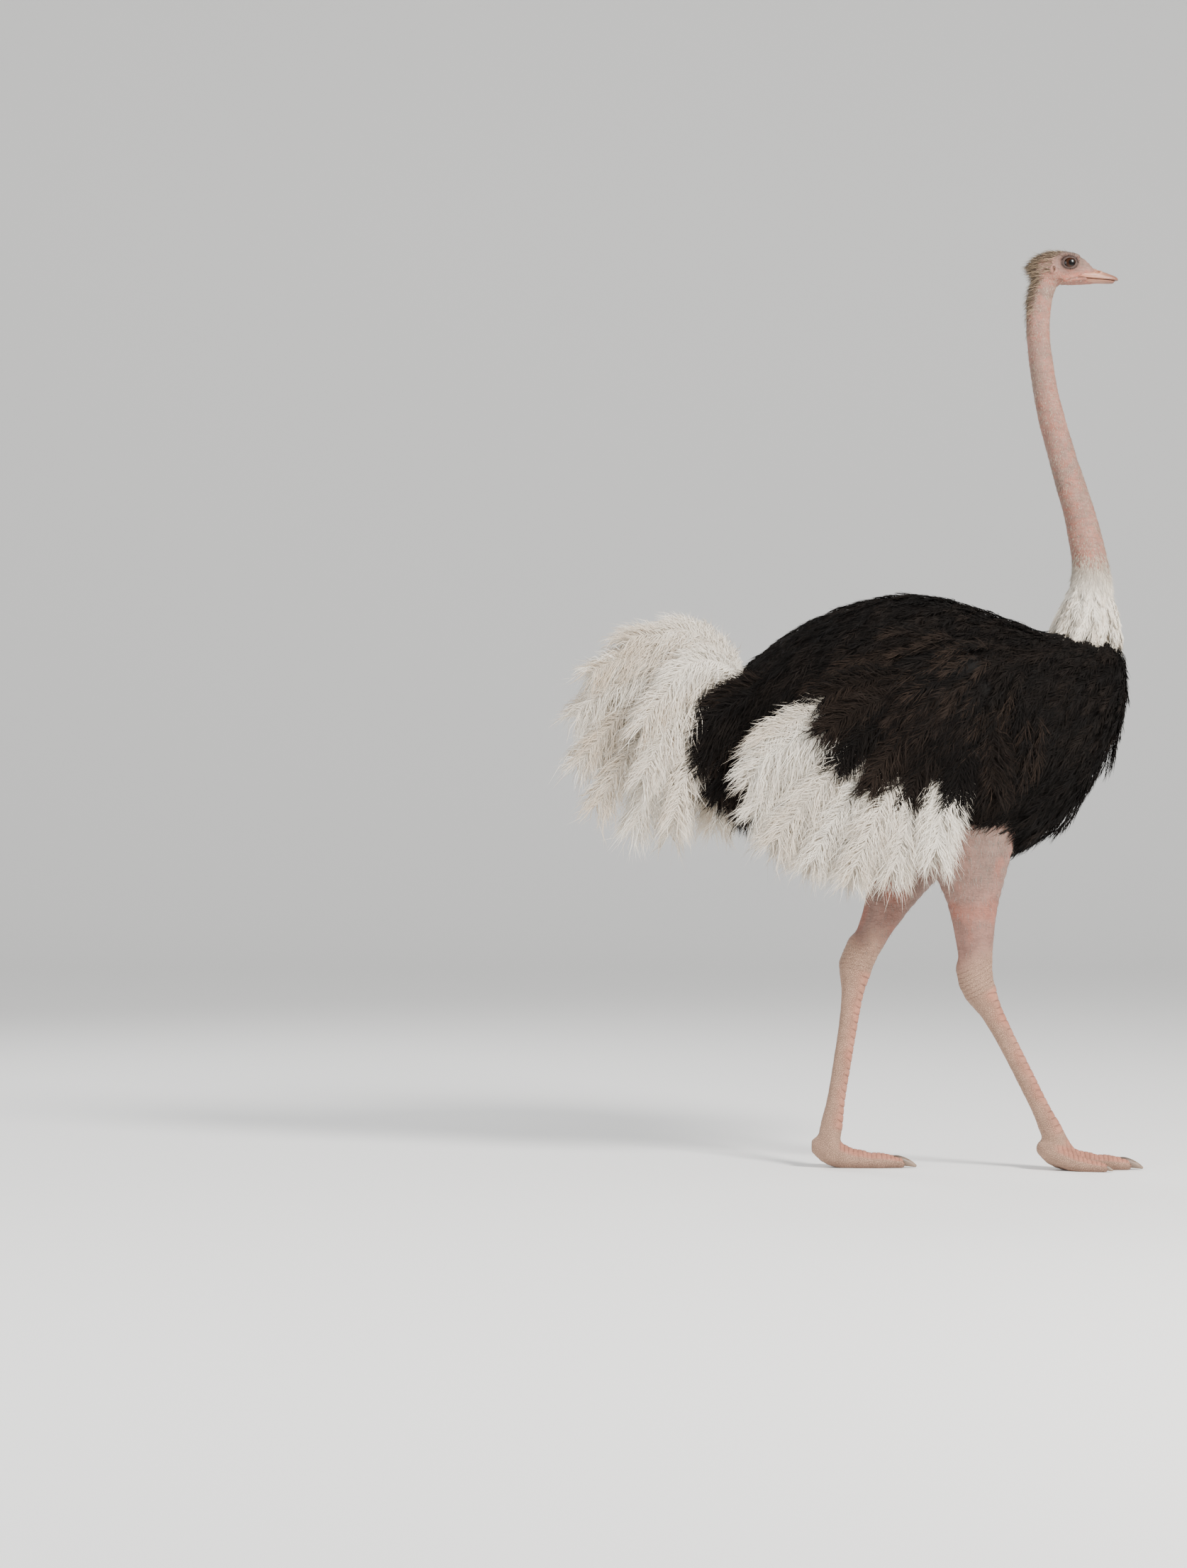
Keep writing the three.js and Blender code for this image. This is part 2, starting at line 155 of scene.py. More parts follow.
class Oval:
    """An egg shape with half sizes of its own along X, Y and Z, turned about Y by `pitch` degrees."""

    def __init__(self, middle, half, pitch=0.0):
        self.middle = np.array(middle, float)
        self.half = np.array(half, float)
        self.pitch = math.radians(pitch)

    def parts(self):
        reach = self.half.max()
        return [(self.middle - reach, self.middle + reach, self.distance)]

    def distance(self, x, y, z):
        dx, dy, dz = (a - b for a, b in zip((x, y, z), self.middle))
        c, s = math.cos(self.pitch), math.sin(self.pitch)
        return oval_distance(c * dx + s * dz, dy, c * dz - s * dx, *self.half)


class Sweep:
    """Oval sections strung along a smooth path. A row is x, y, z, and the reach to each side,
    towards `up` and away from it."""

    def __init__(self, rows, up=(0, 0, 1), steps=24):
        self.rows = smooth_rows(rows, steps)
        self.up = np.array(up, float)

    def parts(self):
        found = []
        for a, b in zip(self.rows[:-1], self.rows[1:]):
            reach = max(a[3:].max(), b[3:].max())
            low = np.minimum(a[:3], b[:3]) - reach
            high = np.maximum(a[:3], b[:3]) + reach
            found.append((low, high, self.segment(a, b)))
        return found

    def segment(self, a, b):
        along = b[:3] - a[:3]
        length = np.linalg.norm(along)
        along = along / length
        across = unit(np.cross(self.up, along))
        high = np.cross(along, across)

        def distance(x, y, z):
            dx, dy, dz = x - a[0], y - a[1], z - a[2]
            travel = dx * along[0] + dy * along[1] + dz * along[2]
            share = np.clip(travel / length, 0, 1)
            u = dx * across[0] + dy * across[1] + dz * across[2]
            v = dx * high[0] + dy * high[1] + dz * high[2]
            side, above, below = (mix(a[i], b[i], share) for i in (3, 4, 5))
            tall = np.where(v > 0, above, below)
            return oval_distance(u, v, travel - share * length, side, tall, np.minimum(side, tall))

        return distance

    def distance(self, x, y, z):
        nearest = FAR
        for _, _, segment in self.parts():
            nearest = np.minimum(nearest, segment(x, y, z))
        return nearest


class Barrel:
    """Upright oval sections along X. A row is x, the height of the middle, and the reach sideways,
    up and down. Its two ends are rounded over a given length."""

    def __init__(self, rows, rounding):
        self.x, self.middle, self.side, self.up, self.down = smooth_rows(rows, 200).T
        from_start = np.clip((self.x - self.x[0]) / rounding, 0, 1)
        from_end = np.clip((self.x[-1] - self.x) / rounding, 0, 1)
        full = np.sqrt(1 - (1 - from_start) ** 2) * np.sqrt(1 - (1 - from_end) ** 2)
        self.full = np.maximum(full, 0.02)

    def parts(self):
        low = np.array([self.x[0], -self.side.max(), (self.middle - self.down).min()])
        high = np.array([self.x[-1], self.side.max(), (self.middle + self.up).max()])
        return [(low, high, self.distance)]

    def section(self, x):
        sizes = [np.interp(x, self.x, self.full * size) for size in (self.side, self.up, self.down)]
        return np.interp(x, self.x, self.middle), *sizes

    def level(self, x, y, z):
        middle, side, up, down = self.section(x)
        rise = z - middle
        tall = np.where(rise > 0, up, down)
        return np.sqrt((y / side) ** 2 + (rise / tall) ** 2), y / side**2, rise / tall**2

    def distance(self, x, y, z):
        inside = np.clip(x, self.x[0] + 2, self.x[-1] - 2)
        near, across, rise = self.level(inside, y, z)
        ahead = self.level(inside + 2, y, z)[0]
        behind = self.level(inside - 2, y, z)[0]
        slope = np.sqrt((across**2 + rise**2) / np.maximum(near, 1e-6) ** 2 + ((ahead - behind) / 4) ** 2)
        around = (near - 1) / np.maximum(slope, 0.0025)
        beyond = np.maximum(x - self.x[-1], self.x[0] - x)
        within = np.minimum(np.maximum(around, beyond), 0)
        return within + np.hypot(np.maximum(around, 0), np.maximum(beyond, 0))


def melt(a, b, soft):
    """The nearer of two distances, rounded over `soft` where they meet."""
    if soft <= 0:
        return np.minimum(a, b)
    share = np.maximum(soft - np.abs(a - b), 0) / soft
    return np.minimum(a, b) - share * share * soft / 4


class Field:
    """A block of signed distances on a grid whose steps may differ from place to place."""

    OUTSIDE = 60.0  # what it holds far from every form
    REACH = 14.0  # how far past a form its distances are worked out

    def __init__(self, x, y, z):
        self.axes = [np.asarray(axis, float) for axis in (x, y, z)]
        self.values = np.full([len(axis) for axis in self.axes], self.OUTSIDE)

    def window(self, low, high):
        """The part of the grid that a box covers, and its places along X, Y and Z."""
        cut = tuple(
            slice(max(np.searchsorted(axis, a) - 1, 0), min(np.searchsorted(axis, b) + 1, len(axis)))
            for axis, a, b in zip(self.axes, low, high)
        )
        return cut, np.ix_(*(axis[part] for axis, part in zip(self.axes, cut)))

    def form(self, shape, margin):
        """One form's own distances on the part of the grid that it reaches."""
        parts = shape.parts()
        low = np.min([part[0] for part in parts], axis=0) - margin
        high = np.max([part[1] for part in parts], axis=0) + margin
        whole, _ = self.window(low, high)
        own = np.full([part.stop - part.start for part in whole], self.OUTSIDE)
        for part_low, part_high, distance in parts:
            cut, places = self.window(part_low - margin, part_high + margin)
            local = tuple(slice(c.start - w.start, c.stop - w.start) for c, w in zip(cut, whole))
            own[local] = np.minimum(own[local], distance(*places))
        return whole, own

    def add(self, shape, soft=0.0, inset=0.0):
        where, own = self.form(shape, self.REACH + soft)
        self.values[where] = melt(self.values[where], own + inset, soft)

    def cut(self, shape, soft=0.0, grow=0.0):
        where, own = self.form(shape, self.REACH + soft)
        self.values[where] = -melt(-self.values[where], own - grow, soft)

    def keep(self, distance):
        """Keeps only what is also inside the given distance, a function of x, y and z."""
        self.values = np.maximum(self.values, distance(*np.ix_(*self.axes)))

    def surface(self):
        """The points and four-sided faces of the surface at distance 0, faces turned outwards."""
        grid = openvdb.FloatGrid(self.OUTSIDE)
        grid.copyFromArray(self.values.astype(np.float32))
        cells, faces = grid.convertToQuads(isovalue=0.0)
        columns = [np.interp(cells[:, i], np.arange(len(axis)), axis) for i, axis in enumerate(self.axes)]
        return np.stack(columns, axis=1), faces.astype(int)


def graded(*stretches):
    """Grid lines over neighbouring stretches, each (start, end, step)."""
    lines = [np.arange(start, end, step) for start, end, step in stretches]
    return np.concatenate([*lines, [stretches[-1][1]]])


def above_floor(x, y, z):
    """A distance that is negative above the level at which the soles are cut."""
    return FLOOR - z


# ---- Body plan ----

# A row is x, the height of the middle, and the reach sideways, up and down: the plumage's outside.
TRUNK = Barrel(
    [
        [-502, 1216, 96, 92, 96],
        [-470, 1216, 132, 126, 128],
        [-400, 1214, 182, 192, 220],
        [-270, 1208, 246, 284, 310],
        [-110, 1200, 292, 349, 352],
        [60, 1195, 302, 362, 366],
        [220, 1192, 288, 318, 356],
        [350, 1204, 248, 262, 312],
        [440, 1228, 204, 222, 262],
        [510, 1262, 160, 176, 190],
        [556, 1296, 120, 130, 130],
        [584, 1320, 90, 96, 96],
    ],
    rounding=40,
)
WINGS = {side: Oval((38, side * 152, 1226), (278, 184, 224)) for side in (RIGHT, LEFT)}

# A row is x, height, and the reach sideways, towards the nape and towards the throat.
NECK_ROWS = [
    [404, 1290, 112, 128, 140],
    [448, 1392, 96, 108, 112],
    [482, 1498, 70, 76, 76],
    [488, 1630, 52, 54, 54],
    [458, 1775, 44, 46, 46],
    [416, 1915, 40, 42, 42],
    [378, 2055, 37, 39, 38],
    [353, 2190, 34, 36, 36],
    [345, 2310, 33, 35, 35],
    [362, 2400, 34, 36, 36],
    [392, 2448, 34, 34, 34],
]
NECK_COAT = [27, 25, 15, 5, 4, 4, 4, 4, 4, 4, 4]  # how deep the skin lies at each row of the neck


def neck_sweep(depths):
    """The neck, with each row's reach made smaller by a depth."""
    rows = [
        [x, 0, z, *(size - depth for size in reach)]
        for (x, z, *reach), depth in zip(NECK_ROWS, depths)
    ]
    return Sweep(rows, up=(-1, 0, 0), steps=44)


NECK = neck_sweep(np.zeros(len(NECK_ROWS)))


def neck_at(height, column):
    """At a height of the neck: 0 is its x, 3 its reach sideways, 4 to the nape and 5 to the throat."""
    return np.interp(height, NECK.rows[:, 2], NECK.rows[:, column])


def at_head(dx, out, drop):
    """A place from its distance ahead of the skull's back, out from the midline and below the crown."""
    return [SKULL_BACK + dx, out, CROWN - drop]


def head_sweep(rows, side=LEFT):
    """A row is dx, out, drop, and the reach sideways, up and down."""
    placed = [[*at_head(dx, side * out, drop), *reach] for dx, out, drop, *reach in rows]
    return Sweep(placed, steps=14)


def on_eyeball(across, rise, side, grow=0.0):
    """The place on the eyeball's outside that lies so far ahead of its middle and above it."""
    half = EYE_HALF + grow
    depth = np.sqrt(np.maximum(1 - (across / half[0]) ** 2 - (rise / half[2]) ** 2, 0.02))
    return np.array([EYE[0] + across, side * (EYE[1] + half[1] * depth), EYE[2] + rise])


# Rows for head_sweep: dx, out, drop, and the reach sideways, up and down.
SKULL_ROWS = [
    [0, 0, 54, 22, 24, 24],
    [20, 0, 52, 34, 37, 35],
    [48, 0, 52, 40, 46, 41],
    [76, 0, 54, 41, 47, 40],
    [102, 0, 60, 36, 41, 33],
    [124, 0, 67, 29, 30, 24],
    [136, 0, 71, 25, 23, 19],
]
THROAT_ROWS = [
    [84, 0, 84, 24, 10, 12],
    [112, 0, 87, 20, 8, 9],
    [138, 0, 89, 14, 6, 5.5],
    [160, 0, 89.5, 9, 4, 4],
    [180, 0, 89, 4, 3, 2.5],
]
JAW_ROWS = [[70, 27, 86, 8, 8, 7], [96, 27, 85, 8, 7, 6], [124, 25, 83, 6, 5, 5]]
GAPE_ROWS = [
    [78, 37, 87, 1.2, 1.2, 1.2],
    [94, 36, 83, 1.7, 1.7, 1.7],
    [112, 34, 80, 2, 2, 2],
    [134, 31, 79, 2, 2, 2],
]

LID_HALF = (20.5, 15.5)  # half of the opening between the lids, along and up
LID_TILT = math.radians(-8)  # the front corner lies a little lower


def lid_place(turn, side, grow=1.2, open_by=1.0):
    """A place round the eye's opening, `grow` outside the eyeball."""
    across = LID_HALF[0] * open_by * math.cos(turn)
    rise = LID_HALF[1] * open_by * math.sin(turn)
    tilted = (
        across * math.cos(LID_TILT) - rise * math.sin(LID_TILT),
        across * math.sin(LID_TILT) + rise * math.cos(LID_TILT),
    )
    return on_eyeball(*tilted, side, grow)


def from_eye(points):
    """How far places lie from the eye's middle, where 1 is the edge of the lids."""
    across = (points[:, 0] - EYE[0]) / LID_HALF[0]
    return np.hypot(across, (points[:, 2] - EYE[2]) / LID_HALF[1])


def lid(side, first, last, thick, tall, open_by=1.0):
    """A fold of a lid, from one turn round the eye's opening to another, in degrees."""
    turns = np.radians(np.linspace(first, last, 9))
    swell = np.sin(np.linspace(0.25, math.pi - 0.25, 9)) ** 0.5
    rows = [
        [*lid_place(turn, side, open_by=open_by), thick * full, tall * full, tall * full]
        for turn, full in zip(turns, swell)
    ]
    return Sweep(rows, up=(0, 1, 0), steps=20)


def neck_and_head():
    field = Field(
        graded((300, 395, 1.7), (395, 460, 1.05), (460, 590, 1.6)),
        graded((-75, -24, 1.15), (-24, 24, 2.2), (24, 75, 1.15)),
        graded((1380, 1620, 5), (1620, 2340, 3.6), (2340, 2430, 1.5), (2430, 2485, 1.0), (2485, 2504, 1.4)),
    )
    field.add(neck_sweep(NECK_COAT))
    field.add(head_sweep(SKULL_ROWS), soft=16)
    field.add(head_sweep(THROAT_ROWS), soft=10)
    for side in (RIGHT, LEFT):
        add_face(field, side)
    return field.surface()


def add_face(field, side):
    """One side's cheek, jaw, eye socket, lids, ear and gape."""
    eye = EYE * (1, side, 1)
    x, _, z = eye
    cheek = Oval((x - 20, side * 25, z - 30), (34, 13, 14))
    before_eye = Oval((x + 37, side * 45, z - 4), (15, 10, 11), pitch=-20)
    socket = Oval((x, side * 56, z - 1), (29, 16, 24))
    brow = Oval((x + 1, side * 27, z + 21), (29, 15, 8), pitch=-4)
    opening = Oval((x, side * 86, z), (LID_HALF[0] + 1.5, 60, LID_HALF[1] + 1.5), pitch=8)
    ear = np.array([x - 45, side * 39, z - 17])
    field.add(cheek, soft=12)
    field.add(head_sweep(JAW_ROWS, side), soft=8)
    field.cut(before_eye, soft=9)
    field.cut(socket, soft=7)
    field.add(brow, soft=7)
    field.add(Oval(eye, EYE_HALF + 2.6), soft=7)
    field.cut(opening, soft=1.5)
    field.add(lid(side, -5, 185, 2.9, 2.7), soft=2)
    field.add(lid(side, 175, 365, 2.4, 2.2), soft=2)
    field.add(lid(side, 25, 155, 1.7, 1.5, open_by=1.28), soft=4)
    field.add(lid(side, 200, 340, 1.5, 1.3, open_by=1.32), soft=4)
    field.cut(Oval(eye, EYE_HALF), grow=0.5)
    field.add(Oval(ear, (9.5, 5, 12)), soft=5)
    field.cut(Oval(ear + (1, side * 3, 0), (4.6, 6.5, 7.2)), soft=2.5)
    field.cut(head_sweep(GAPE_ROWS, side), soft=3)


# ---- Legs ----

# The places of the knee, the hock and the root of the toes: x, out from the midline, and the height.
# The shin points at the last of them and is SHIN long.
LEG_PLANS = {
    "right": [(136, KNEE_SPREAD, 1072), (170, 94, 506), (388, 64, 78)],
    "left": [(112, KNEE_SPREAD, 1066), (-142, 58, 556), (-222, -8, 82)],
}

# A row is the share of the way from knee to hock, and the reach sideways, forwards and backwards.
DRUMSTICK_ROWS = [
    [-0.12, 88, 140, 150],
    [0.06, 100, 160, 162],
    [0.22, 98, 138, 138],
    [0.4, 82, 108, 108],
    [0.56, 60, 80, 76],
    [0.7, 45, 59, 51],
    [0.83, 36, 47, 36],
    [0.95, 34, 41, 34],
]
# The tendon's row: the same share, its reach three ways, and how far it lies behind the leg's line.
TENDON_ROWS = [
    [0.5, 12, 12, 12, 64],
    [0.66, 11, 12, 12, 47],
    [0.8, 10, 11, 12, 36],
    [0.9, 12, 12, 12, 32],
    [1.0, 18, 14, 14, 30],
]
# The share of the way from the hock to the root of the toes, and the reach as for the drumstick.
SHANK_ROWS = [
    [-0.1, 30, 36, 36],
    [-0.04, 36, 41, 42],
    [0.03, 40, 41, 47],
    [0.1, 35, 34, 40],
    [0.19, 26, 28, 30],
    [0.36, 22, 25.5, 24],
    [0.6, 21, 24.5, 23],
    [0.8, 23, 24, 24],
    [0.92, 31, 28, 30],
    [1.04, 34, 29, 33],
]
# A toe's row is the distance ahead of its root, outwards, the height, and the reach sideways, up, down.
INNER_TOE_ROWS = [
    [-30, 2, 58, 27, 25, 25],
    [0, 1, 47, 33, 31, 38],
    [36, 0, 33, 31, 28, 36],
    [60, -1, 28, 27, 24, 32],
    [84, -2, 25, 28.5, 23, 30],
    [106, -3, 22, 25, 19, 27],
    [132, -3, 21, 26, 20, 26],
    [158, -3, 19, 23, 17, 22],
    [186, -3, 16, 19.5, 14.5, 19],
]
OUTER_TOE_ROWS = [
    [-22, 20, 54, 20, 20, 20],
    [10, 30, 40, 21, 21, 28],
    [36, 39, 29, 18.5, 18.5, 28],
    [58, 45, 22.5, 19, 18, 25],
    [80, 51, 18.5, 16, 15, 21],
    [100, 56, 15.5, 15.5, 13.5, 18],
    [120, 61, 12.5, 11.5, 9.5, 14],
]
CLAW_ROWS = {
    "inner": [
        [166, -3, 25, 13, 10, 14],
        [184, -3, 23.5, 13.5, 11, 14.5],
        [202, -3, 18.5, 12, 10, 13],
        [218, -3, 12.5, 9, 7.5, 9],
        [231, -3, 6, 4.6, 4, 4],
    ],
    "outer": [
        [108, 58, 15.5, 7.5, 6.5, 8],
        [124, 61.5, 13.5, 7, 6.5, 7.5],
        [134, 63.5, 9.5, 5.5, 5, 6],
        [141, 65, 6, 3.4, 3, 3],
    ],
}


class Leg:
    """The lines along which one leg is built."""

    def __init__(self, name):
        self.side = SIDES[name]
        self.knee, self.hock, foot = np.array(LEG_PLANS[name], float) * (1, self.side, 1)
        self.toes = self.hock + SHIN * unit(foot - self.hock)

    def between(self, rows, start, end):
        return [[*mix(start, end, share), *reach] for share, *reach in rows]

    def toe(self, rows, steps=20):
        x, y, _ = self.toes
        return Sweep([[x + ahead, y + self.side * out, *rest] for ahead, out, *rest in rows], steps=steps)

    def tendon(self):
        rows = self.between(TENDON_ROWS, self.knee, self.hock)
        return Sweep([[x - behind, *rest] for x, *rest, behind in rows], up=(1, 0, 0), steps=12)

    def surface(self):
        field = Field(*self.grid())
        drumstick = self.between(DRUMSTICK_ROWS, self.knee, self.hock)
        field.add(Sweep(drumstick, up=(1, 0, 0), steps=22))
        field.add(self.tendon(), soft=9)
        shank = self.between(SHANK_ROWS, self.hock, self.toes)
        field.add(Sweep(shank, up=(1, 0, 0), steps=30), soft=16)
        for out in (-1, 1):
            knuckle = self.hock + (2, out * 25, -4)
            field.add(Oval(knuckle, (23, 14, 27)), soft=9)
        field.add(self.toe(INNER_TOE_ROWS), soft=14)
        field.add(self.toe(OUTER_TOE_ROWS), soft=10)
        web = self.toes + (22, self.side * 22, -40)
        field.add(Oval(web, (30, 20, 14)), soft=12)
        field.keep(above_floor)
        return field.surface()

    def grid(self):
        low_x = min(self.hock[0] - 70, self.knee[0] - 175, self.toes[0] - 50)
        high_x = max(self.toes[0] + 225, self.knee[0] + 175)
        low_y, high_y = sorted((self.toes[1] - self.side * 50, self.knee[1] + self.side * 110))
        z = graded((-6, 165, 1.6), (165, 560, 2.1), (560, 1180, 6))
        return graded((low_x, high_x, 2.1)), graded((low_y - 8, high_y + 8, 2.1)), z


LEGS = {name: Leg(name) for name in LEG_PLANS}


# ---- Colours ----


def linear(code):
    """A colour from its usual six-digit code, as the three numbers that light follows."""
    parts = np.array([(code >> shift) & 255 for shift in (16, 8, 0)]) / 255
    return np.where(parts <= 0.04045, parts / 12.92, ((parts + 0.055) / 1.055) ** 2.4)


BLACK_FEATHER = linear(0x110F0E)
BROWN_TIP = linear(0x2E251F)
WHITE_FEATHER = linear(0xEAE3D6)
DUSTY_WHITE = linear(0xB9A184)
NECK_SKIN = linear(0x9B7062)
NECK_GREY = linear(0x7C6A60)
LEG_SKIN = linear(0x946A5D)
LEG_FLUSH = linear(0xB25F4A)
LEG_PALE = linear(0xB5947C)
LID_DARK = linear(0x4A3A34)
# A brown painted as shade in the grooves of the legs, in the gape, and where the toes meet the floor.
PAINTED_SHADE = linear(0x6E5147)


def tinted(base, other, share):
    return base + (other - base) * np.asarray(share)[..., None]


def painted(colour, *layers):
    """A colour with others laid over it in turn, each given with its share at every point."""
    for other, share in layers:
        colour = tinted(colour, other, share)
    return colour


# ---- Meshes ----


def smoothed(points, quads):
    """The points moved, twice, half of the way to the middle of the faces round them."""
    for _ in range(2):
        total = np.zeros_like(points)
        count = np.zeros(len(points))
        middles = points[quads].mean(axis=1)
        for k in range(4):
            np.add.at(total, quads[:, k], middles)
            np.add.at(count, quads[:, k], 1)
        points = mix(points, total / np.maximum(count, 1)[:, None], 0.5)
    return points


def face_ways(corners):
    """The outward way of four-sided faces, twice as long as each one's area."""
    return np.cross(corners[:, 2] - corners[:, 0], corners[:, 3] - corners[:, 1])


def vertex_normals(points, quads):
    facing = face_ways(points[quads])
    total = np.zeros_like(points)
    for k in range(4):
        np.add.at(total, quads[:, k], facing)
    return unit(total)


def make_mesh(name, points, faces, colours, floats=None, uv=None):
    """An object from points in millimetres and groups of faces with equal corner counts."""
    mesh = bpy.data.meshes.new(name)
    sizes = np.concatenate([np.full(len(group), group.shape[1], np.int32) for group in faces])
    corners = np.concatenate([group.ravel() for group in faces]).astype(np.int32)
    starts = np.concatenate([[0], np.cumsum(sizes)[:-1]]).astype(np.int32)
    mesh.vertices.add(len(points))
    mesh.vertices.foreach_set("co", to_frame(points).astype(np.float32).ravel())
    mesh.loops.add(len(corners))
    mesh.loops.foreach_set("vertex_index", corners)
    mesh.polygons.add(len(sizes))
    mesh.polygons.foreach_set("loop_start", starts)
    mesh.polygons.foreach_set("loop_total", sizes)
    mesh.polygons.foreach_set("use_smooth", np.ones(len(sizes), bool))
    tint = mesh.attributes.new("Tint", "FLOAT_COLOR", "POINT")
    rgba = np.concatenate([colours, np.ones((len(colours), 1))], axis=1)
    tint.data.foreach_set("color", rgba.astype(np.float32).ravel())
    for key, values in (floats or {}).items():
        layer = mesh.attributes.new(key, "FLOAT", "POINT")
        layer.data.foreach_set("value", values.astype(np.float32))
    if uv is not None:
        layer = mesh.uv_layers.new(name="OFBake")
        layer.data.foreach_set("uv", uv[corners].astype(np.float32).ravel())
    mesh.update()
    mesh.validate()
    piece = bpy.data.objects.new(name, mesh)
    bpy.context.scene.collection.objects.link(piece)
    return piece


def place(piece, slot, material, *nodes):
    """Gives a piece its look, hangs it under the frame's root and hides `nodes`; `slot` is not used."""
    piece.data.materials.append(material)
    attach(piece, "root")
    if nodes:
        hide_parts(*nodes)
    return piece


# ---- Materials ----


class Look:
    """A Principled material that is built up a node at a time."""

    def __init__(self, name, roughness, sheen=0.0, specular=0.5, coat=0.0):
        self.material = bpy.data.materials.new(name)
        self.material.use_nodes = True
        self.nodes = self.material.node_tree.nodes
        self.links = self.material.node_tree.links
        self.shader = self.nodes["Principled BSDF"]
        settings = {
            "Roughness": roughness,
            "Specular IOR Level": specular,
            "Sheen Weight": sheen,
            "Sheen Roughness": 0.5,
            "Coat Weight": coat,
            "Coat Roughness": 0.04,
        }
        for socket, value in settings.items():
            self.shader.inputs[socket].default_value = value

    def node(self, kind, inputs=None, **settings):
        node = self.nodes.new(kind)
        for key, value in settings.items():
            setattr(node, key, value)
        for socket, value in (inputs or {}).items():
            if isinstance(value, bpy.types.NodeSocket):
                self.links.new(value, node.inputs[socket])
            else:
                node.inputs[socket].default_value = value
        return node

    def attribute(self, name, kind="Color"):
        return self.node("ShaderNodeAttribute", attribute_name=name).outputs[kind]

    def where(self):
        return self.node("ShaderNodeTexCoord").outputs["Object"]

    def squeezed(self, scale):
        """Places for a pattern that is finer along one axis than along another."""
        return self.node("ShaderNodeMapping", {"Vector": self.where(), "Scale": scale}).outputs[0]

    def clouds(self, scale, detail=3.0, place=None):
        inputs = {"Vector": place or self.where(), "Scale": scale, "Detail": detail}
        return self.node("ShaderNodeTexNoise", inputs).outputs["Fac"]

    def cells(self, scale, feature="DISTANCE_TO_EDGE"):
        inputs = {"Vector": self.where(), "Scale": scale}
        return self.node("ShaderNodeTexVoronoi", inputs, feature=feature).outputs["Distance"]

    def ramp(self, value, low, high, to_low=0.0, to_high=1.0):
        inputs = {"Value": value, "From Min": low, "From Max": high, "To Min": to_low, "To Max": to_high}
        return self.node("ShaderNodeMapRange", inputs).outputs["Result"]

    def math(self, operation, a, b=0.0):
        return self.node("ShaderNodeMath", {0: a, 1: b}, operation=operation).outputs[0]

    def darken(self, colour, low, high, value, start=0.0, end=1.0):
        """The colour times a factor that goes from `low` to `high` as a value goes from start to end."""
        factor = self.ramp(value, start, end, low, high)
        inputs = {0: colour, "Scale": factor}
        return self.node("ShaderNodeVectorMath", inputs, operation="SCALE").outputs[0]

    def tone(self, low, high, value):
        """The piece's own tint, darkened and lightened between two shares by a cloudy value."""
        return self.darken(self.attribute("Tint"), low, high, value, 0.25, 0.75)

    def bump(self, height, distance, strength, normal=None):
        inputs = {"Height": height, "Distance": distance, "Strength": strength}
        if normal is not None:
            inputs["Normal"] = normal
        return self.node("ShaderNodeBump", inputs).outputs["Normal"]

    def finish(self, colour, roughness=None, normal=None):
        wires = {"Base Color": colour, "Roughness": roughness, "Normal": normal}
        for socket, wire in wires.items():
            if wire is not None:
                self.links.new(wire, self.shader.inputs[socket])
        return self.material


def skin_look():
    """Leathery skin: fine folds everywhere, small scales where `Scaly` says so, painted shade between the
    scales and along the creases of the folds, and matt where it is `Covered` by feathers."""
    look = Look("bare_skin", roughness=0.6, specular=0.3)
    scaly = look.attribute("Scaly", "Fac")
    bare = look.math("SUBTRACT", 1.0, scaly)
    pores = look.clouds(420, 4)
    scale_tops = look.ramp(look.cells(210), 0.0, 0.16)
    scale_height = look.math("MULTIPLY", scale_tops, scaly)
    scale_gap_shade = look.math("MULTIPLY", look.math("SUBTRACT", 1.0, scale_tops), scaly)
    goose_flesh = look.math("MULTIPLY", look.ramp(look.cells(105, "F1"), 0.05, 0.4, 1.0, 0.0), bare)
    folded = look.math("SUBTRACT", look.clouds(34, 5, look.squeezed((1.0, 1.0, 3.2))), 0.5)
    crease = look.ramp(look.math("ABSOLUTE", folded), 0.0, 0.06)
    crease = look.math("MAXIMUM", crease, scaly)

    colour = look.tone(0.84, 1.12, look.clouds(26, 4))
    # Painted shade: the colour is darker between the scales and along the creases of the folds.
    colour = look.darken(colour, 1.0, 0.62, scale_gap_shade)
    colour = look.darken(colour, 0.92, 1.0, crease)
    colour = look.darken(colour, 0.97, 1.12, goose_flesh)

    normal = look.bump(look.cells(150), 0.0006, 0.3)
    for height, distance, strength in (
        (crease, 0.0016, 0.5),
        (goose_flesh, 0.0012, 0.6),
        (pores, 0.0005, 0.6),
        (scale_height, 0.0011, 0.9),
    ):
        normal = look.bump(height, distance, strength, normal)
    roughness = look.ramp(pores, 0.3, 0.7, 0.5, 0.72)
    return look.finish(colour, look.math("MAXIMUM", roughness, look.attribute("Covered", "Fac")), normal)


def horn_look(name, low, high):
    gloss = 0.42
    look = Look(name, roughness=gloss)
    along = look.squeezed((0.25, 1.0, 1.0))
    streaks = look.clouds(160, 5, along)
    fine = look.bump(look.clouds(700, 3, along), 0.0004, 0.5)
    normal = look.bump(streaks, 0.0006, 0.6, fine)
    roughness = look.ramp(streaks, 0.3, 0.7, gloss - 0.1, gloss + 0.14)
    return look.finish(look.tone(low, high, streaks), roughness, normal)


def feather_look(name, low, high, sheen=0.1, specular=0.15, rough=0.8):
    look = Look(name, rough, sheen, specular)
    roughness = look.ramp(look.clouds(90, 2), 0.3, 0.7, rough - 0.1, rough + 0.1)
    return look.finish(look.tone(low, high, look.clouds(38, 4)), roughness)


def eye_look():
    look = Look("wet_eye", roughness=0.3, specular=0.1, coat=0.28)
    return look.finish(look.tone(0.8, 1.2, look.clouds(900, 2)))


# ---- Skin ----

GRAVITY = np.array([0.0, 0.0, -1.0])


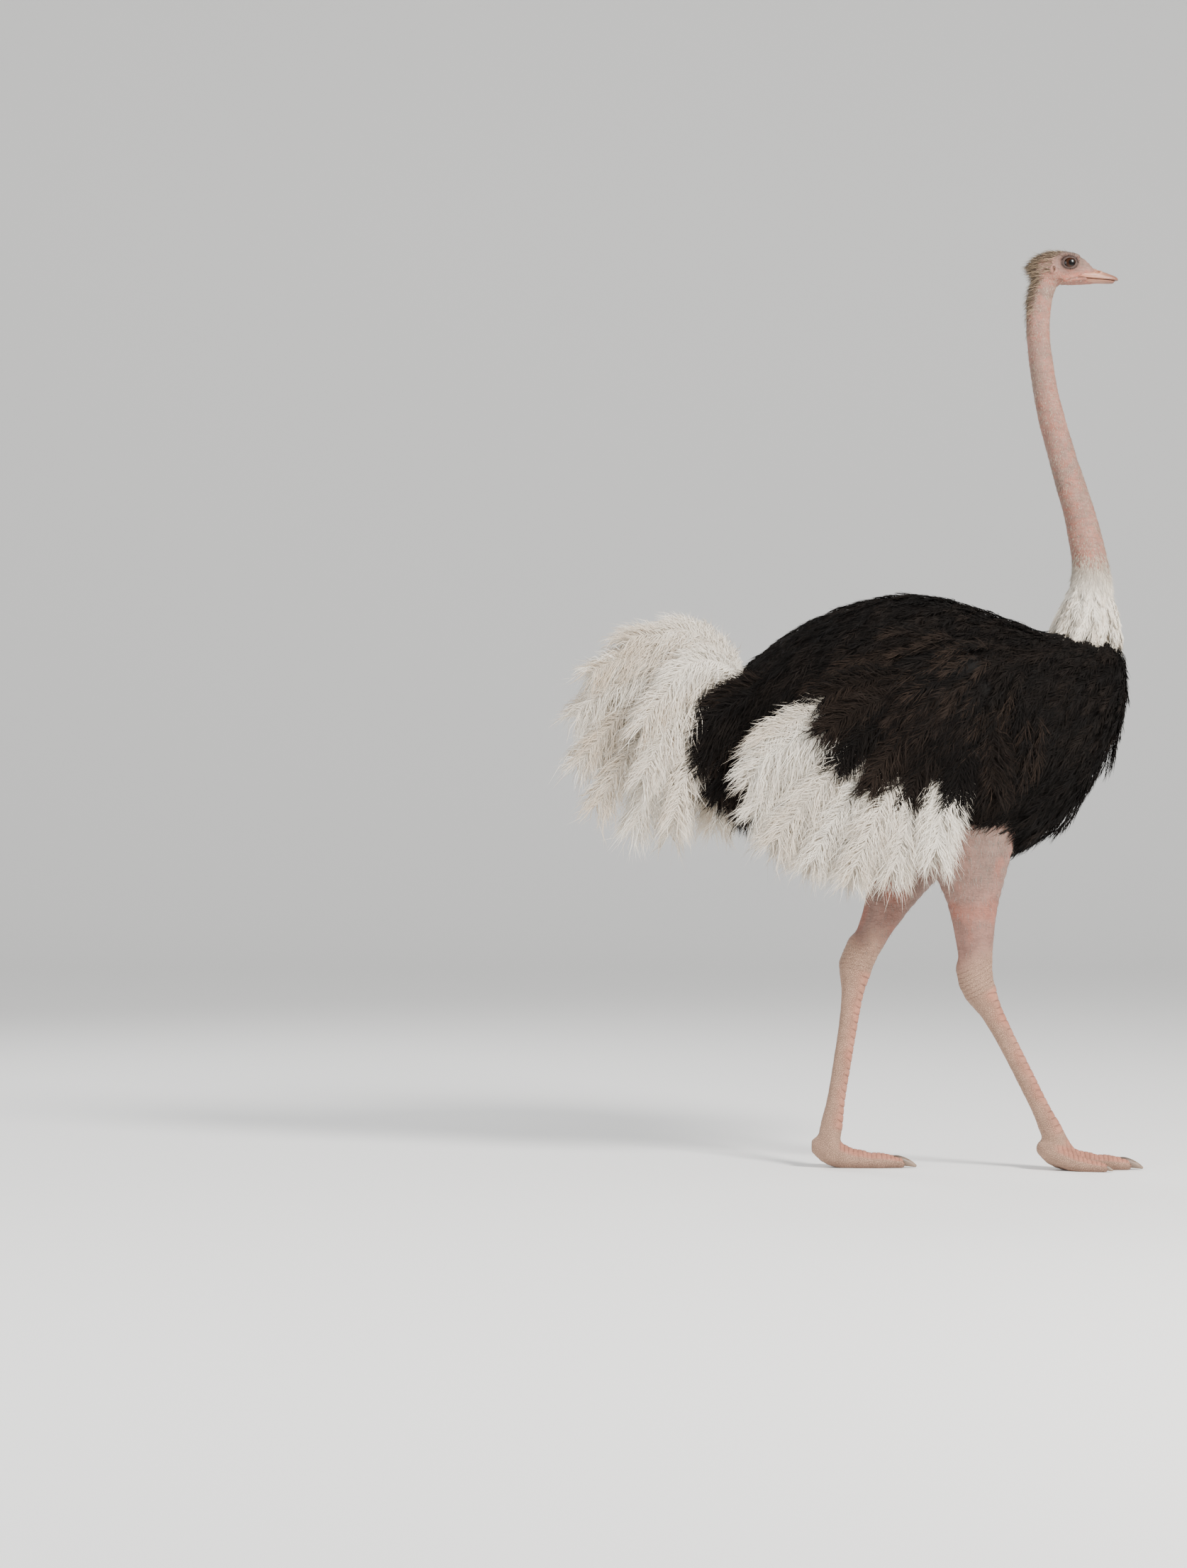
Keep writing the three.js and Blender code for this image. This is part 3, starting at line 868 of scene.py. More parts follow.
def plates(phase):
    """Rows of plates, one to each whole number of `phase`: 1 on a plate and 0 in the groove between."""
    edge = np.abs(2 * (phase % 1.0) - 1)
    return 1 - smoothstep(0.7, 1.0, edge)


def band(low, high, soft, value):
    """1 between two values and 0 beyond them, with soft edges."""
    return smoothstep(low - soft, low + soft, value) * (1 - smoothstep(high - soft, high + soft, value))


SCUTED = (26, 462)  # the stretch of the shank that has scutes, down from the hock
HOCK_FOLDED = (-62, 34)  # the same for the folds round the hock
TOES_END = (78, 96)  # the heights over which the toes give way to the shank
SCUTE, TOE_PLATE, HOCK_FOLD = 21, 12.5, 12  # from one groove to the next


def leg_zones(leg, points, normals):
    """How much of each zone every point of a leg belongs to, and how high the plates stand there.
    `travel` is the way down from the hock, and `ahead` the way forward from the root of the toes."""
    along = unit(leg.toes - leg.hock)
    front = unit(along_surface(np.array([1.0, 0, 0]), along))
    travel = dot(points - leg.hock, along)
    ahead = points[:, 0] - leg.toes[0]
    height = points[:, 2]
    waver = noise(points, 34)
    facing = dot(normals, front) + 0.14 * waver
    above_toes = smoothstep(*TOES_END, height)
    on_toe = (1 - above_toes) * smoothstep(-20, 10, ahead)
    on_shank = band(*SCUTED, 10, travel) * above_toes
    return SimpleNamespace(
        height=height,
        scutes=on_shank * smoothstep(0.25, 0.6, facing),
        scute_plates=plates((travel + 5 * waver + 9 * (1 - facing)) / SCUTE),
        toe_top=on_toe * smoothstep(0.15, 0.55, normals[:, 2]),
        toe_plates=plates((ahead + 3 * waver) / TOE_PLATE),
        hock=band(*HOCK_FOLDED, 14, travel),
        hock_folds=plates((travel + 4 * waver) / HOCK_FOLD),
        thigh=1 - smoothstep(-100, -24, travel + 22 * waver),
        flush=on_shank * smoothstep(-0.5, 0.9, facing) * (0.75 + 0.25 * waver),
    )


def leg_relief(points, zones):
    """How far the scutes and folds lift each point of a leg."""
    move = zones.scutes * (2.0 * zones.scute_plates - 0.9)
    move += zones.toe_top * (1.7 * zones.toe_plates - 0.8)
    move += zones.hock * (1.1 * zones.hock_folds - 0.5)
    move += zones.thigh * (3.6 * noise(points, (56, 56, 200), 3) + 1.6 * noise(points, (30, 30, 44), 2))
    move += (1 - zones.thigh) * 0.5 * noise(points, 9, 4)
    above_sole = smoothstep(4, 9, zones.height)
    return move * above_sole


def leg_tint(points, zones):
    grey = 0.25 + 0.4 * patches(points, (80, 80, 150), 5, -0.7, 0.7)
    warm = 0.3 * patches(points, (40, 40, 60), 14, 0.1, 0.7)
    # Painted shade in the grooves between scutes, toe plates and hock folds.
    groove_shade = zones.scutes * (1 - zones.scute_plates) + zones.toe_top * (1 - zones.toe_plates)
    groove_shade += 0.6 * zones.hock * (1 - zones.hock_folds)
    return painted(
        LEG_SKIN,
        (NECK_GREY, grey * zones.thigh),
        (LEG_FLUSH, warm * zones.thigh),
        (LEG_PALE, 0.75 * (1 - zones.thigh)),
        (LEG_FLUSH, np.maximum(0.62 * zones.flush, 0.5 * zones.toe_top)),
        (PAINTED_SHADE, 0.8 * np.clip(groove_shade, 0, 1)),
        # Painted shade on the lowest 26 mm of the foot, next to the floor.
        (PAINTED_SHADE, 0.55 * (1 - smoothstep(0, 26, zones.height))),
    )


def finish_leg(leg):
    """A leg's points with their scutes, folds and colours."""
    smooth, quads = leg.surface()
    normals = vertex_normals(smooth, quads)
    zones = leg_zones(leg, smooth, normals)
    points = smooth + normals * leg_relief(smooth, zones)[:, None]
    scaly = (1 - zones.thigh) * (1 - 0.85 * np.maximum(zones.scutes, zones.toe_top))
    return points, quads, leg_tint(points, zones), scaly, np.zeros(len(points))


def neck_zones(points):
    """How much of each zone every point of the neck and head belongs to."""
    height = points[:, 2]
    ahead = points[:, 0] - SKULL_BACK
    head = smoothstep(2385, 2420, height) * smoothstep(-10, 30, ahead)
    gape_x, _, gape_drop = np.array(GAPE_ROWS).T[:3]
    off_gape = np.abs(height - CROWN + np.interp(ahead, gape_x, gape_drop))
    return SimpleNamespace(
        height=height,
        head=head,
        neck=1 - head,
        off_eye=from_eye(points),
        gape=band(74, 200, 4, ahead) * (1 - smoothstep(0.8, 3.2, off_gape)),
        feathered=1 - smoothstep(1425, 1445, height),
    )


def neck_relief(points, zones):
    """How far the folds and wrinkles lift each point of the neck and head."""
    low_down = 1 - smoothstep(1500, 2000, zones.height)
    lids = 1 - smoothstep(1.0, 1.9, zones.off_eye)
    throat = zones.head * (1 - smoothstep(2395, 2435, zones.height))
    wrinkles = np.sin(zones.off_eye * 11 + 1.5 * noise(points, 12, 9))
    move = zones.neck * (0.5 + 0.5 * low_down) * noise(points, (22, 22, 6), 6)
    move += zones.neck * 1.2 * noise(points, (38, 38, 44), 7)
    move += throat * 0.9 * noise(points, (9, 9, 5), 8)
    move += zones.head * band(1.25, 2.3, 0.2, zones.off_eye) * 0.35 * wrinkles
    move += zones.head * (1 - lids) * 0.35 * noise(points, 5, 10)
    return move


def neck_tint(points, zones):
    height, head = zones.height, zones.head
    return painted(
        NECK_SKIN,
        (NECK_GREY, 0.6 * patches(points, (45, 45, 90), 11, -0.3, 0.5)),
        (LEG_FLUSH, 0.3 * patches(points, (14, 14, 9), 17, 0.0, 0.6)),
        (NECK_GREY * 0.7, 0.4 * zones.neck * patches(points, (26, 26, 5), 18, 0.1, 0.5)),
        (NECK_GREY * 0.75, 0.75 * head * smoothstep(2462, 2490, height)),
        (LEG_FLUSH, 0.3 * head * (1 - smoothstep(2425, 2450, height))),
        (LID_DARK, head * (1 - smoothstep(1.08, 1.5, zones.off_eye))),
        (NECK_GREY * 0.7, 0.5 * head * band(1.4, 2.0, 0.25, zones.off_eye)),
        # painted shade in the crease of the gape
        (PAINTED_SHADE, 0.85 * head * zones.gape),
        (WHITE_FEATHER * 0.8, 1 - smoothstep(1560, 1600, height)),
        (BLACK_FEATHER, zones.feathered),
    )


def finish_neck():
    """The neck's and head's points with their folds and colours."""
    smooth, quads = neck_and_head()
    zones = neck_zones(smooth)
    points = smooth + vertex_normals(smooth, quads) * neck_relief(smooth, zones)[:, None]
    return points, quads, neck_tint(points, zones), np.full(len(points), 0.12), zones.feathered


def finish_trunk():
    field = Field(graded((-530, 610, 9)), graded((-350, 350, 9)), graded((800, 1580, 9)))
    field.add(TRUNK, inset=COAT_DEPTH)
    for wing in WINGS.values():
        field.add(wing, soft=16, inset=COAT_DEPTH)
    tail_root = Oval((-490, 0, 1262), (70, 46, 62))
    field.add(tail_root, soft=40)
    points, quads = field.surface()
    tint = tinted(BLACK_FEATHER, DUSTY_WHITE, smoothstep(-470, -520, points[:, 0]))
    return points, quads, tint, np.zeros(len(points)), np.ones(len(points))


SKIN_TRIANGLES = 195_000


def thinned(piece, triangles):
    """The piece with its flat stretches in fewer, larger faces."""
    now = sum(len(face.vertices) - 2 for face in piece.data.polygons)
    thin = piece.modifiers.new("thin", "DECIMATE")
    thin.ratio = min(1.0, triangles / now)
    graph = bpy.context.evaluated_depsgraph_get()
    mesh = bpy.data.meshes.new_from_object(piece.evaluated_get(graph), depsgraph=graph)
    mesh.name = piece.name
    piece.modifiers.clear()
    piece.data = mesh
    mesh.polygons.foreach_set("use_smooth", np.ones(len(mesh.polygons), bool))
    return piece


def joined(parts):
    """Several (points, faces, more values...) as one."""
    starts = np.cumsum([0, *(len(part[0]) for part in parts[:-1])])
    faces = [part[1] + start for part, start in zip(parts, starts)]
    columns = list(zip(*parts))
    return [np.concatenate(columns[0]), np.concatenate(faces), *map(np.concatenate, columns[2:])]


def make_skin(neck, legs):
    points, quads, tint, scaly, covered = joined([neck, finish_trunk(), *legs])
    skin = make_mesh("skin", points, [quads], tint, {"Scaly": scaly, "Covered": covered})
    skin = thinned(skin, SKIN_TRIANGLES)
    flesh = ["trunk", "neck_lower", "neck_upper", "head"]
    for name in SIDES:
        flesh += [f"{part}_{name}" for part in ("thigh", "shank", "toe_inner", "toe_outer")]
    place(skin, "leg_skin", skin_look(), *flesh)


# ---- Eyes ----

IRIS_BROWN = linear(0x3C1E0B)
IRIS_DARK = linear(0x1E0F07)
PUPIL = linear(0x050404)
EYE_TURN = math.radians(12)  # each eye looks a little ahead
PUPIL_RADIUS = 8.2
IRIS_RADIUS = 14.5


def make_eye(name, look):
    """An eyeball in rings about the way that it looks, with a raised cornea."""
    side = SIDES[name]
    rings, spokes = 56, 72
    polar = np.linspace(0.01, math.pi - 0.01, rings)[:, None]
    turn = np.linspace(0, 2 * math.pi, spokes, endpoint=False)[None, :]
    out = np.cos(polar) + 0 * turn
    ahead = np.sin(polar) * np.cos(turn)
    rise = np.sin(polar) * np.sin(turn)
    cornea = 1 + 0.07 * np.clip(1 - (polar / 0.72) ** 2, 0, 1) + 0 * turn
    x = ahead * math.cos(EYE_TURN) + out * math.sin(EYE_TURN)
    y = (out * math.cos(EYE_TURN) - ahead * math.sin(EYE_TURN)) * side
    points = np.stack([x, y, rise], axis=-1) * EYE_HALF * cornea[..., None]
    points = (points + EYE * (1, side, 1)).reshape(-1, 3)

    ring, spoke = np.meshgrid(np.arange(rings - 1), np.arange(spokes), indexing="ij")
    a, b = ring * spokes + spoke, ring * spokes + (spoke + 1) % spokes
    quads = np.stack([a, b, b + spokes, a + spokes], axis=-1).reshape(-1, 4)
    first = np.arange(spokes)
    caps = np.array([first[::-1], first + (rings - 1) * spokes])
    faces = [quads, caps] if side == LEFT else [quads[:, ::-1], caps[:, ::-1]]

    radius = np.repeat(np.sin(polar[:, 0]) * EYE_HALF[0], spokes)
    strands = 0.5 + 0.5 * noise(points, (2.2, 60, 2.2), 12)
    tint = painted(
        IRIS_DARK,
        (IRIS_BROWN, band(PUPIL_RADIUS, IRIS_RADIUS, 2, radius) * strands),
        (PUPIL, 1 - smoothstep(PUPIL_RADIUS, PUPIL_RADIUS + 0.7, radius)),
        (PUPIL, smoothstep(IRIS_RADIUS + 1, IRIS_RADIUS + 3, radius)),
    )
    eye = make_mesh(f"eyeball_{name}", points, faces, tint)
    place(eye, "eye", look, f"eye_{name}")


# ---- Bill ----

UPPER_BILL_ROWS = [
    [108, 0, 72, 31, 31, 14],
    [134, 0, 73, 29.5, 25, 14],
    [162, 0, 76, 27, 17.5, 14],
    [190, 0, 80, 23, 12.5, 13],
    [206, 0, 83, 18, 9.5, 11],
    [212, 0, 85, 12, 7, 8],
]
RIM_ROWS = [
    [106, 33.5, 77.6, 0.8, 0.8, 0.8],
    [118, 31.8, 77.6, 1.9, 1.9, 1.9],
    [132, 29.2, 78, 2.8, 2.8, 2.8],
    [162, 26, 80, 2.6, 2.6, 2.6],
    [190, 21.5, 83, 2.4, 2.4, 2.4],
    [207, 12, 86, 2.4, 2.4, 2.4],
]
RIDGE_ROWS = [[112, 0, 47, 5, 4, 6], [150, 0, 60, 5, 4, 6], [186, 0, 71, 6, 3, 5]]
LOWER_BILL_ROWS = [
    [100, 0, 77, 26, 12, 13],
    [134, 0, 80, 26, 12, 12.5],
    [162, 0, 83, 23.5, 12, 10.5],
    [188, 0, 86, 19, 10, 8.5],
    [202, 0, 88, 13, 8, 6],
]
CHIN_ROWS = [[120, 0, 100, 9, 6, 6], [160, 0, 96, 7, 5, 5], [182, 0, 95, 4, 3, 3]]
BILL_GRID = [graded((low, high, 1.15)) for low, high in ((440, 565), (-40, 40), (2385, 2478))]
BITE = 0.45  # how far each half reaches past the line between them
HORN = linear(0xAE7E66)
HORN_TIP = linear(0x7E5342)
HORN_DARK = linear(0x4A372F)


def mouth_line(x):
    """The height at which the closed bill parts: it dips towards the tip."""
    share = (x - SKULL_BACK - 100) / 110
    return CROWN - 77.5 - 8.5 * share - 2.0 * np.sin(math.pi * np.clip(share, 0, 1))


def bill_tint(points):
    x, y, z = points.T
    ahead = x - SKULL_BACK
    top_plate = smoothstep(11, 7, np.abs(y) + 1.5 * noise(points, 7, 15)) * smoothstep(-82, -66, z - CROWN)
    # Painted shade: darker along the line where the two halves of the bill meet.
    edge = 1 - smoothstep(0.5, 3.0, np.abs(z - mouth_line(x)))
    return painted(
        HORN,
        (HORN_TIP, smoothstep(150, 212, ahead)),
        (LEG_FLUSH, 0.35 * smoothstep(160, 120, ahead)),
        (HORN_DARK, 0.5 * top_plate),
        (HORN_TIP, 0.5 * patches(points, (16, 8, 8), 16, 0.1, 0.6)),
        (HORN_TIP * 0.8, 0.5 * edge),
    )


def upper_bill():
    field = Field(*BILL_GRID)
    field.add(head_sweep(UPPER_BILL_ROWS))
    for side in (RIGHT, LEFT):
        nostril = Oval(at_head(160, side * 23, 66), (8.5, 6, 2.6), pitch=14)
        field.cut(Oval(at_head(146, side * 21, 57), (29, 9, 8), pitch=18), soft=7)
        field.add(Oval(at_head(160, side * 19.5, 66), (13, 3.8, 3.8), pitch=16), soft=5)
        field.cut(nostril, soft=1.5)
        field.add(head_sweep(RIM_ROWS, side), soft=3)
    nail = Oval(at_head(201, 0, 82), (12, 12, 8.5), pitch=12)
    field.add(head_sweep(RIDGE_ROWS), soft=7)
    field.add(nail, soft=1.6)
    field.keep(lambda x, y, z: mouth_line(x) + BITE - z)
    return field


def lower_bill():
    field = Field(*BILL_GRID)
    field.add(head_sweep(LOWER_BILL_ROWS))
    field.cut(head_sweep(CHIN_ROWS), soft=6)
    field.keep(lambda x, y, z: z - mouth_line(x) + BITE)
    return field


def make_bill(look):
    for name, field in (("upper", upper_bill()), ("lower", lower_bill())):
        points, quads = field.surface()
        points = smoothed(points, quads)
        piece = make_mesh(f"{name}_bill", points, [quads], bill_tint(points))
        place(piece, "bill", look, f"bill_{name}")


# ---- Claws ----

CLAW = linear(0x54463D)
CLAW_WORN = linear(0x8C7766)


def make_claw(name, toe, look):
    shape = LEGS[name].toe(CLAW_ROWS[toe], steps=16)
    low = shape.rows[:, :3].min(axis=0) - 18
    high = shape.rows[:, :3].max(axis=0) + 18
    field = Field(*(graded((a, b, 0.9)) for a, b in zip(low, high)))
    field.add(shape)
    field.keep(above_floor)
    points, quads = field.surface()
    points = points + vertex_normals(points, quads) * (0.3 * noise(points, (14, 3, 3), 13))[:, None]
    points[:, 2] = np.maximum(points[:, 2], FLOOR)
    share = smoothstep(shape.rows[0, 0] + 12, shape.rows[-1, 0], points[:, 0])
    piece = make_mesh(f"{toe}_claw_{name}", points, [quads], tinted(CLAW, CLAW_WORN, share))
    place(piece, "claw", look, f"claw_{toe}_{name}")


# ---- Blades: the thin tapering strips that feathers, down and lashes are made of ----


def grow_pairs(values):
    """Values along each line as values of its blade's points: a pair to each step, then the tip."""
    return np.concatenate([np.repeat(values[:, :-1], 2, axis=1), values[:, -1:]], axis=1)


def blade_points(lines, faces, halves):
    """Blades along lines (N, K, 3), flat towards `faces`, whose last point is the tip."""
    tangents = unit(np.gradient(lines, axis=1))
    across = unit(np.cross(faces, tangents)) * halves[..., None]
    signs = np.tile([-1.0, 1.0], lines.shape[1] - 1)[None, :, None]
    points = grow_pairs(lines)
    points[:, :-1] += signs * grow_pairs(across)[:, :-1]
    return points


class Coat:
    """Blades gathered into one piece."""

    def __init__(self, name):
        self.name = name
        self.points, self.tints, self.maps = [], [], []
        self.quads, self.tips = [], []
        self.start = 0

    def add(self, lines, faces, halves, tints, maps):
        """Lines, facings and colours are (N, K, 3), half widths (N, K) and map places (N, K, 2)."""
        count, steps = lines.shape[:2]
        corners = 2 * steps - 1
        first = self.start + corners * np.arange(count)[:, None, None]
        k = 2 * np.arange(steps - 2)[None, :, None]
        self.quads.append((first + k + np.array([0, 2, 3, 1])).reshape(-1, 4))
        self.tips.append((first[:, 0] + 2 * (steps - 2) + np.array([0, 2, 1])).reshape(-1, 3))
        self.points.append(blade_points(lines, faces, halves).reshape(-1, 3))
        self.tints.append(grow_pairs(tints).reshape(-1, 3))
        self.maps.append(grow_pairs(maps).reshape(-1, 2))
        self.start += corners * count

    def build(self, slot, look, *nodes):
        piece = make_mesh(
            self.name,
            np.concatenate(self.points),
            [np.concatenate(self.quads), np.concatenate(self.tips)],
            np.concatenate(self.tints),
            uv=np.concatenate(self.maps),
        )
        return place(piece, slot, look, *nodes)


# ---- Feathers ----

PATCH = 0.003  # how much of the map one feather takes
MAP_EDGE = 0.02  # the margin round the map
BARB_STEPS = 4  # points along a barb


def along_lines(values, shares):
    """Values (F, S, ...) known at even steps along each line, read at shares (F, B) of the way."""
    last = values.shape[1] - 1
    at = np.clip(shares, 0, 1) * last
    k = np.minimum(at.astype(int), last - 1)
    rows = np.arange(len(values))[:, None]
    part = (at - k)[..., None]
    return values[rows, k] * (1 - part) + values[rows, k + 1] * part


def turn_share(a, b):
    """The turn of (a, b) about the origin, as a share from 0 to 1."""
    return np.arctan2(a, b) / (2 * math.pi) + 0.5


def in_margin(share):
    """A place along one side of the map, inside its margin."""
    return MAP_EDGE + (1 - 2 * MAP_EDGE) * share


def map_place(points):
    """A place on an unwrap of the body round its length: the turn about it, then the way along."""
    along = (points[:, 0] + 560) / 1200  # from behind the rump to the breast
    turn = turn_share(points[:, 1], points[:, 2] - 1210)
    return in_margin(np.stack([turn, np.clip(along, 0, 1)], axis=1))


@dataclass
class Vane:
    """How the barbs of a kind of feather grow from its shaft."""

    barbs: int  # on each side
    ribbon: float  # the width of a barb's blade
    spread: tuple  # degrees between a barb and the shaft, at the root and at the tip
    curl: float  # how far a barb bends in towards the body, as a share of its length
    sag: float  # how far it hangs
    wave: float  # how far it strays
    lean: float  # how far it bends towards the feather's tip
    shaft: float  # the width of the shaft's own blade
    blunt: float = 0.55  # the length of the last barbs, as a share of the longest
    fill: float = 0.75  # the share of the shaft, from the tip, that has barbs of full length
    first: float = 0.06  # the share of the shaft, from the root, that is bare


def add_feathers(coat, spines, faces, halves, tints, vane, rng, roots=None):
    """Feathers along spines (F, S, 3). `tints` is (F, 2, 3), the colours at root and tip. The map goes
    by `roots`, which are the spines' first points if they aren't given."""
    count = len(spines)
    homes = map_place(spines[:, 0] if roots is None else roots)
    tangents = unit(np.gradient(spines, axis=1))
    shares = np.linspace(vane.first, 1, vane.barbs)[None, :]
    shares = shares + rng.uniform(-0.4, 0.4, (count, vane.barbs)) / vane.barbs
    shares = np.clip(shares, vane.first, 1)
    swell = np.clip(shares / (1 - vane.fill), 0, 1) ** 0.7
    swell = swell * (1 - (1 - vane.blunt) * smoothstep(0.62, 1.0, shares))
    barbs = {
        "roots": along_lines(spines, shares),
        "ways": unit(along_lines(tangents, shares)),
        "fronts": unit(along_lines(faces, shares)),
        "lengths": halves[:, None] * swell,
        "knot": rng.uniform(0, 2 * math.pi, (count, 1)),
    }
    for side in (-1, 1):
        add_barbs(coat, side, shares, tints, homes, vane, rng, **barbs)
    add_shafts(coat, spines, faces, tints, homes, vane)


def add_barbs(coat, side, shares, tints, homes, vane, rng, roots, ways, fronts, lengths, knot):
    """The barbs on one side of every feather, at shares (F, B) of the way along it."""
    count = len(shares)
    angle = np.radians(mix(vane.spread[0], vane.spread[1], shares**1.3))
    clump = np.sin(2 * math.pi * shares * rng.uniform(3.5, 6.5, (count, 1)) + knot + side)
    angle = angle * (rng.normal(1, 0.15, angle.shape) + 0.28 * clump)
    across = side * np.cross(fronts, ways)
    out = np.cos(angle)[..., None] * ways + np.sin(angle)[..., None] * across
    length = lengths / np.maximum(np.sin(angle), 0.55)
    length = (length * (1 + 0.1 * clump) * rng.uniform(0.78, 1.08, length.shape))[..., None]
    bend = vane.lean * ways - vane.curl * fronts + vane.sag * GRAVITY
    bend = bend + vane.wave * rng.uniform(-1.6, 1.6, bend.shape)
    stray = 0.5 * vane.wave * rng.uniform(-1.6, 1.6, bend.shape)

    time = np.linspace(0, 1, BARB_STEPS)
    t = time[:, None]
    straight = out[:, :, None] * t + 0.5 * stray[:, :, None] * np.sin(2.2 * math.pi * t)
    lines = roots[:, :, None] + length[:, :, None] * (straight + 0.5 * bend[:, :, None] * t * t)
    each = (*shares.shape, 1)
    twist = rng.normal(0, 0.55, each) * across + rng.normal(0, 0.25, each) * ways
    facing = np.repeat(unit(fronts + twist)[:, :, None], BARB_STEPS, axis=2)
    width_along = np.interp(time, [0, 0.3, 0.75, 1], [0.55, 1.0, 0.7, 0.0])
    ribbon = 0.5 * vane.ribbon * width_along * rng.uniform(0.8, 1.2, each)

    place_on_patch = np.stack(
        np.broadcast_arrays(side * 0.5 * time, 0.6 * shares[..., None] + 0.4 * time - 0.5), axis=-1
    )
    maps = homes[:, None, None] + PATCH * place_on_patch
    fade = np.clip(0.75 * shares[..., None] + 0.45 * time - 0.15, 0, 1)[..., None]
    colour = mix(tints[:, None, None, 0], tints[:, None, None, 1], fade)
    flat = (-1, BARB_STEPS)
    coat.add(lines.reshape(*flat, 3), facing.reshape(*flat, 3), ribbon.reshape(flat),
             colour.reshape(*flat, 3), maps.reshape(*flat, 2))


def add_shafts(coat, spines, faces, tints, homes, vane):
    time = np.linspace(0, 1, spines.shape[1])
    colour = mix(tints[:, None, 0], tints[:, None, 1], time[:, None])
    maps = homes[:, None] + PATCH * np.stack([0 * time, time - 0.5], axis=1)
    taper = 0.5 * vane.shaft * (1 - 0.8 * time) * np.ones((len(spines), 1))
    coat.add(spines, faces, taper, colour, maps)


# ---- The lie of the body coat ----


def trunk_distance(points):
    """How far places lie outside the plumage of trunk and neck."""
    x, y, z = np.moveaxis(points, -1, 0)
    return melt(TRUNK.distance(x, y, z), NECK.distance(x, y, z), 46)


def body_distance(points):
    """The same for trunk, neck and folded wings."""
    nearest = trunk_distance(points)
    for wing in WINGS.values():
        nearest = melt(nearest, wing.distance(*np.moveaxis(points, -1, 0)), 24)
    return nearest


def outwards(distance, points, step=1.5):
    """The distance at each point, and the way that is outwards there."""
    here = distance(points)
    slopes = [distance(points + step * axis) - here for axis in np.eye(3)]
    return here, unit(np.stack(slopes, axis=-1))


def run_over(distance, roots, flow, lengths, depths):
    """Lines that set out from their roots along `flow` and keep `depths` (F, S) outside a surface
    (negative is below it), and the way that is outwards at each point."""
    steps = depths.shape[1]
    place_now = roots
    lines, faces = [], []
    for k in range(steps):
        here, out = outwards(distance, place_now)
        place_now = place_now + out * (depths[:, k] - here)[:, None]
        lines.append(place_now)
        faces.append(out)
        way = unit(along_surface(flow(place_now, out), out))
        place_now = place_now + way * (lengths / (steps - 1))[:, None]
    return np.stack(lines, axis=1), np.stack(faces, axis=1)


def body_flow(points, out):
    """Back and down over the trunk, and straight down on the neck."""
    x, y, z = points.T
    on_neck = smoothstep(1390, 1470, z) * smoothstep(360, 420, x)
    sideways = 0.25 * np.sign(y) * np.clip(np.abs(y) / 60, 0, 1)
    trunk_way = np.stack([0 * y - 1.0, sideways, 0 * y - 0.75], axis=1)
    neck_way = np.array([-0.15, 0, -1.0]) + 0.35 * out
    return mix(trunk_way, neck_way, on_neck[:, None])


def turns_round(count, loose, rng):
    """Turns evenly round a ring, each a little off its place."""
    return 2 * math.pi * (np.arange(count) + rng.uniform(-loose, loose, count)) / count


def rooted_in_rings(spacing, rng):
    """Evenly strewn places on the trunk, in rings round it."""
    found = []
    x = TRUNK.x[0] + 3
    while x < TRUNK.x[-1]:
        middle, side, up, down = TRUNK.section(x)
        count = max(int(math.pi * (side + 0.5 * (up + down)) / spacing), 5)
        turn = turns_round(count, 0.32, rng)
        tall = np.where(np.cos(turn) > 0, up, down)
        along = x + rng.uniform(-0.4, 0.4, count) * spacing
        found.append([along, side * np.sin(turn), middle + tall * np.cos(turn)])
        ahead = TRUNK.section(x + 4)
        slope = max(abs(ahead[1] - side), abs(ahead[2] - up)) / 4
        x += 0.86 * spacing / math.sqrt(1 + slope * slope)
    return found


def rooted_on_ends(spacing, rng):
    """The same over the trunk's two blunt ends."""
    found = []
    for end, inwards in ((0, 1), (-1, -1)):
        middle, side, up, _ = TRUNK.section(TRUNK.x[end] + 12 * inwards)
        count = int(math.pi * side * up / (0.8 * spacing**2))
        turn = rng.uniform(0, 2 * math.pi, count)
        reach = np.sqrt(rng.uniform(0, 1, count))
        along = TRUNK.x[end] + 0 * turn
        found.append([along, side * reach * np.sin(turn), middle + up * reach * np.cos(turn)])
    return found


def rooted_on_neck(spacing, rng):
    """The same in rings round the base of the neck."""
    found = []
    for x, _, z, side, nape, throat in NECK.rows[1:14]:
        count = int(2 * math.pi * side / spacing)
        turn = turns_round(count, 0.3, rng)
        reach = np.where(np.cos(turn) > 0, throat, nape)
        height = z + rng.uniform(-0.5, 0.5, count) * spacing
        found.append([x + reach * np.cos(turn), side * np.sin(turn), height])
    return found


def settled(points, depth):
    """The points moved to a depth under the coat's surface."""
    for _ in range(4):
        here, out = outwards(body_distance, points)
        points = points - out * (here + depth)[:, None]
    return points, out


def black_tints(count, rng, brown=0.5):
    """The colours at root and tip of black feathers, some of them browner at the tip. The roots are
    painted darker, as shade under the feathers that lie over them.
    """
    share = np.clip(rng.uniform(0, 1, count) ** 2.2 * brown, 0, 1)
    # painted shade: the root colour is made 0.8 times as bright
    base = tinted(BLACK_FEATHER, BROWN_TIP, 0.5 * share) * 0.8
    return np.stack([base, tinted(BLACK_FEATHER, BROWN_TIP, share)], axis=1)


def white_tints(count, rng, dust=0.6):
    """The same for white feathers, some of them dustier at the tip."""
    share = rng.uniform(0, 1, count) ** 1.6 * dust
    base = tinted(WHITE_FEATHER, DUSTY_WHITE, 0.3 * share)
    return np.stack([base, tinted(WHITE_FEATHER, DUSTY_WHITE, share)], axis=1)


BODY_SPACING = 28
SMALL_FEATHER = Vane(barbs=16, ribbon=2.4, spread=(48, 9), curl=0.1, sag=0.16, wave=0.22, lean=0.9, shaft=0.9)
TIP_SHARE = np.linspace(0, 1, 8)[None, :] ** 1.5  # how much of a tip's lift each point of a spine has


